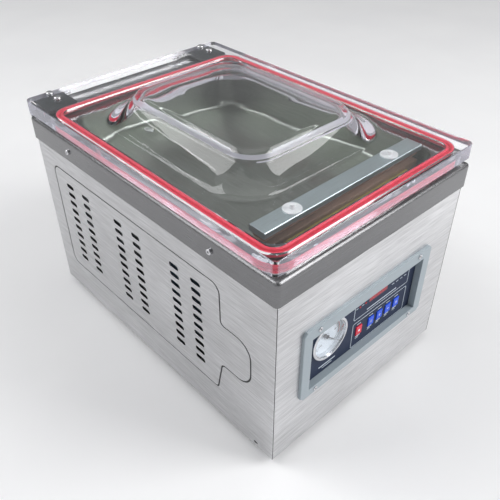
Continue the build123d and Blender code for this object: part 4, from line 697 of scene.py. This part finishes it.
# Plain bars stand where words are printed: round each button, beside the lamps, under the
# display and under the gauge.
for name in buttons:
    x, z = button_centre(name)
    ink_patch(bm, x, z - 0.0105, 0.009, 0.0014)
    ink_patch(bm, x - 0.0015, z - 0.0133, 0.006, 0.0010)
    ink_patch(bm, x, z + 0.0102, 0.0075, 0.0011)
for z in (0.168, 0.177):
    for x, width in ((-0.0195, 0.004), (-0.0085, 0.004)):
        ink_patch(bm, x, z, width, 0.0011)
for number in range(4):
    x = 0.052 + 0.0085 * number
    ink_patch(bm, x, 0.178, 0.0058, 0.0012)
    ink_patch(bm, x, 0.1665, 0.0048, 0.0010)
ink_patch(bm, field_middle, 0.1545, 0.060, 0.0016)
ink_patch(bm, -0.069, 0.1115, 0.030, 0.0018)
ink_patch(bm, -0.069, 0.1075, 0.018, 0.0012)
bmesh.ops.recalc_face_normals(bm, faces=bm.faces)
panel_ink = piece("panel_ink", bm, "machine", pale_ink)


# ---------------------------------------------------------------- display and lamps
# A dull red window over a three-figure display whose figures are unlit, and four small red
# lamps beside it; each figure has seven bars and a point.
coat_nodes(moulded("red_window", (0.34, 0.012, 0.03), 0.30, patch=900.0),
           "display_window")
coat_nodes(moulded("red_lamp", (0.55, 0.02, 0.02), 0.15, coat=0.5), "indicator_lamps")
display_segment = moulded("display_segment", (0.62, 0.05, 0.07), 0.35)
FIGURE_HEIGHT = 0.0092
FIGURE_WIDTH = 0.0052
FIGURE_PITCH = 0.0098
POINT_OFFSET = 0.0040
SEGMENT = 0.0009
bm = bmesh.new()
display_low, display_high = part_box("display_window")
display_x = (display_low.x + display_high.x) / 2
display_z = (display_low.z + display_high.z) / 2
for figure in (-1, 0, 1):
    x = display_x + figure * FIGURE_PITCH
    for level in (-1, 0, 1):
        ink_patch(bm, x, display_z + level * (FIGURE_HEIGHT - SEGMENT) / 2,
                  FIGURE_WIDTH - 2 * SEGMENT, SEGMENT, 0.0003)
    for side in (-1, 1):
        for half in (-1, 1):
            ink_patch(bm, x + side * (FIGURE_WIDTH - SEGMENT) / 2,
                      display_z + half * FIGURE_HEIGHT / 4,
                      SEGMENT, FIGURE_HEIGHT / 2 - 1.4 * SEGMENT, 0.0003)
    ink_patch(bm, x + POINT_OFFSET, display_z - (FIGURE_HEIGHT - SEGMENT) / 2,
              SEGMENT, SEGMENT, 0.0003)
bmesh.ops.recalc_face_normals(bm, faces=bm.faces)
figures = piece("display_figures", bm, "machine", display_segment)


# ---------------------------------------------------------------- buttons
# Moulded caps, one red for stop and four blue keys, each with a plain white printed sign
# that stands a little proud; small switches on a green board carry them behind the panel.
coat_nodes(moulded("red_cap", (0.80, 0.02, 0.06), 0.34, edge=0.0005), "button_stop")
coat_nodes(moulded("blue_cap", (0.0, 0.085, 0.80), 0.34, edge=0.0005), *buttons[1:])
white_sign = moulded("white_sign", (0.86, 0.88, 0.92), 0.45)
signs_mm = {
    "button_stop": [(0, 0, 3.6, 3.6)],
    "button_key_1": [(0, 1.6, 4.6, 0.6), (0, 0, 4.6, 0.6), (0, -1.6, 4.6, 0.6)],
    "button_key_2": [(0, 0, 4.4, 0.8), (0, 0, 0.8, 4.4)],
    "button_key_3": [(0, 0, 4.4, 0.8)],
    "button_key_4": [(-1.3, 0, 0.8, 4.4), (1.3, 0, 0.8, 4.4)],
}
for name in buttons:
    x, z = button_centre(name)
    face_y = button_boxes[name][0].y
    bm = bmesh.new()
    for across, up, width, height in signs_mm[name]:
        ink_patch(bm, x + across / 1000, z + up / 1000, width / 1000, height / 1000,
                  0.0004, face_y)
    bmesh.ops.recalc_face_normals(bm, faces=bm.faces)
    sign = piece(name + "_sign", bm, name, white_sign)
coat_nodes(moulded("switch_black", (0.02, 0.02, 0.02), 0.5), "key_switches")
coat_nodes(moulded("board_green", (0.02, 0.13, 0.05), 0.4, patch=500.0, variation=0.3),
           "control_board")


# ---------------------------------------------------------------- vacuum gauge
# A 60 mm dial gauge: polished steel ring, flat glass, white printed dial with a scale from
# right round to left, a thin red arc, and a black hand with a round tail.
polished_steel = moulded("polished_steel", (0.74, 0.75, 0.78), 0.10, metallic=1.0, patch=300.0,
                         variation=0.04)
coat_nodes(polished_steel, "gauge_ring", "gauge_case")
coat_nodes(moulded("dial_white", (0.80, 0.86, 0.92), 0.5, patch=900.0, variation=0.02),
           "gauge_dial")
coat_nodes(moulded("hand_black", (0.02, 0.024, 0.035), 0.35), "gauge_needle")
coat_nodes(clear_plastic("gauge_pane", (0.97, 0.985, 1.0), 0.01, 1.0, 0.00002), "gauge_glass")
black_ink = moulded("black_ink", (0.03, 0.035, 0.05), 0.5)
red_ink = moulded("red_ink", (0.60, 0.03, 0.03), 0.5)

dial_low, dial_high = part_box("gauge_dial")
gauge_x = (dial_low.x + dial_high.x) / 2
gauge_z = (dial_low.z + dial_high.z) / 2
dial_face = dial_low.y
SCALE_RADIUS = 0.0215
SCALE_START = -45.0
SCALE_SWEEP = 270.0
DIVISIONS = 50
THIN_LINE = 0.0003
HUB_RADIUS = 0.0042
LABEL_RADIUS = 0.0150
NUMERAL_HEIGHT = 0.0042


def dial_point(radius, angle):
    """Point on the dial, across and up, at an angle in radians from the right."""
    return gauge_x + radius * cos(angle), gauge_z + radius * sin(angle)


def scale_arc(bm, inner, outer, start, end, steps):
    """Flat printed arc: a short line spun round the dial's centre."""
    x0, z0 = dial_point(inner, radians(start))
    x1, z1 = dial_point(outer, radians(start))
    line = bm.edges.new([bm.verts.new((x, dial_face - INK, z)) for x, z in ((x0, z0), (x1, z1))])
    bmesh.ops.spin(bm, geom=[line, *line.verts], cent=(gauge_x, 0, gauge_z), axis=(0, -1, 0),
                   angle=radians(end - start), steps=steps, use_merge=False)


bm = bmesh.new()
for division in range(DIVISIONS + 1):
    angle = SCALE_START + SCALE_SWEEP * division / DIVISIONS
    major = division % 10 == 0
    middling = division % 5 == 0
    length = 0.0034 if major else 0.0026 if middling else 0.0017
    half = 0.9 if major else 0.5
    scale_arc(bm, SCALE_RADIUS - length, SCALE_RADIUS, angle - half, angle + half, 1)
scale_arc(bm, SCALE_RADIUS, SCALE_RADIUS + THIN_LINE, SCALE_START, SCALE_START + SCALE_SWEEP, 48)
scale_arc(bm, HUB_RADIUS, HUB_RADIUS + THIN_LINE, 0, 359.9, 32)
bmesh.ops.recalc_face_normals(bm, faces=bm.faces)
dial_marks = piece("dial_marks", bm, "machine", black_ink)

bm = bmesh.new()
scale_arc(bm, SCALE_RADIUS + 0.0008, SCALE_RADIUS + 0.0018, -20, 62, 24)
bmesh.ops.recalc_face_normals(bm, faces=bm.faces)
dial_arc = piece("dial_red_arc", bm, "machine", red_ink)

for number in range(6):
    angle = radians(SCALE_START + SCALE_SWEEP * number / 5)
    x, z = dial_point(LABEL_RADIUS, angle)
    text = bpy.data.curves.new(f"dial_number_{number}", "FONT")
    text.body = str(20 * number)
    text.size = NUMERAL_HEIGHT
    text.align_x = "CENTER"
    text.align_y = "CENTER"
    text.resolution_u = 3
    flat = bpy.data.objects.new("flat_number", text)
    scene.collection.objects.link(flat)
    bpy.context.view_layer.update()
    figures_mesh = bpy.data.meshes.new_from_object(flat)
    bpy.data.objects.remove(flat)
    upright = Matrix.Rotation(pi / 2, 4, "X")
    figures_mesh.transform(Matrix.Translation((x, dial_face - INK, z)) @ upright)
    figures_mesh.materials.clear()
    figures_mesh.materials.append(black_ink)
    numeral = bpy.data.objects.new(f"dial_number_{number}", figures_mesh)
    scene.collection.objects.link(numeral)
    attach(numeral, "machine")


# ---------------------------------------------------------------- machinery
# Inside: an oil-sealed rotary pump and its fan-cooled motor on rails, the hose to the tub,
# two solenoid valves, the seal transformer and the contactor.
coat_nodes(moulded("pump_paint", (0.07, 0.13, 0.20), 0.4, patch=300.0, variation=0.2,
                   depth=0.0002, edge=0.001), "pump_housing")
coat_nodes(moulded("motor_paint", (0.22, 0.24, 0.26), 0.42, edge=0.001), "pump_motor", "fan_cover")
coat_nodes(moulded("sight_glass", (0.55, 0.42, 0.12), 0.1, coat=0.5), "oil_sight_glass")
coat_nodes(moulded("cap_plastic", (0.40, 0.03, 0.03), 0.4), "filler_cap")
coat_nodes(moulded("fan_plastic", (0.06, 0.06, 0.06), 0.45), "motor_fan")
coat_nodes(moulded("rail_paint", (0.05, 0.05, 0.05), 0.5, patch=90.0, variation=0.25), "pump_rails")
coat_nodes(moulded("hose_rubber", (0.03, 0.03, 0.03), 0.6), "vacuum_hose")
coat_nodes(moulded("valve_brass", (0.50, 0.38, 0.14), 0.35, metallic=0.9, patch=300.0),
           "solenoid_valves")
coat_nodes(brushed("core_laminations", (0.20, 0.20, 0.21), (0, 1), 0.45), "transformer_core")
coat_nodes(moulded("coil_tape", (0.42, 0.29, 0.05), 0.45, patch=150.0), "transformer_coil")
coat_nodes(moulded("contactor_plastic", (0.12, 0.125, 0.13), 0.45), "power_contactor")


# ---------------------------------------------------------------- power inlet
# A black three-pin appliance inlet, moulded round its plated pins and pushed into the back
# sheet from outside.
coat_nodes(moulded("inlet_plastic", (0.02, 0.02, 0.021), 0.42, edge=0.0005), "power_inlet")
coat_nodes(moulded("pin_brass", (0.70, 0.55, 0.22), 0.25, metallic=1.0), "inlet_pins")
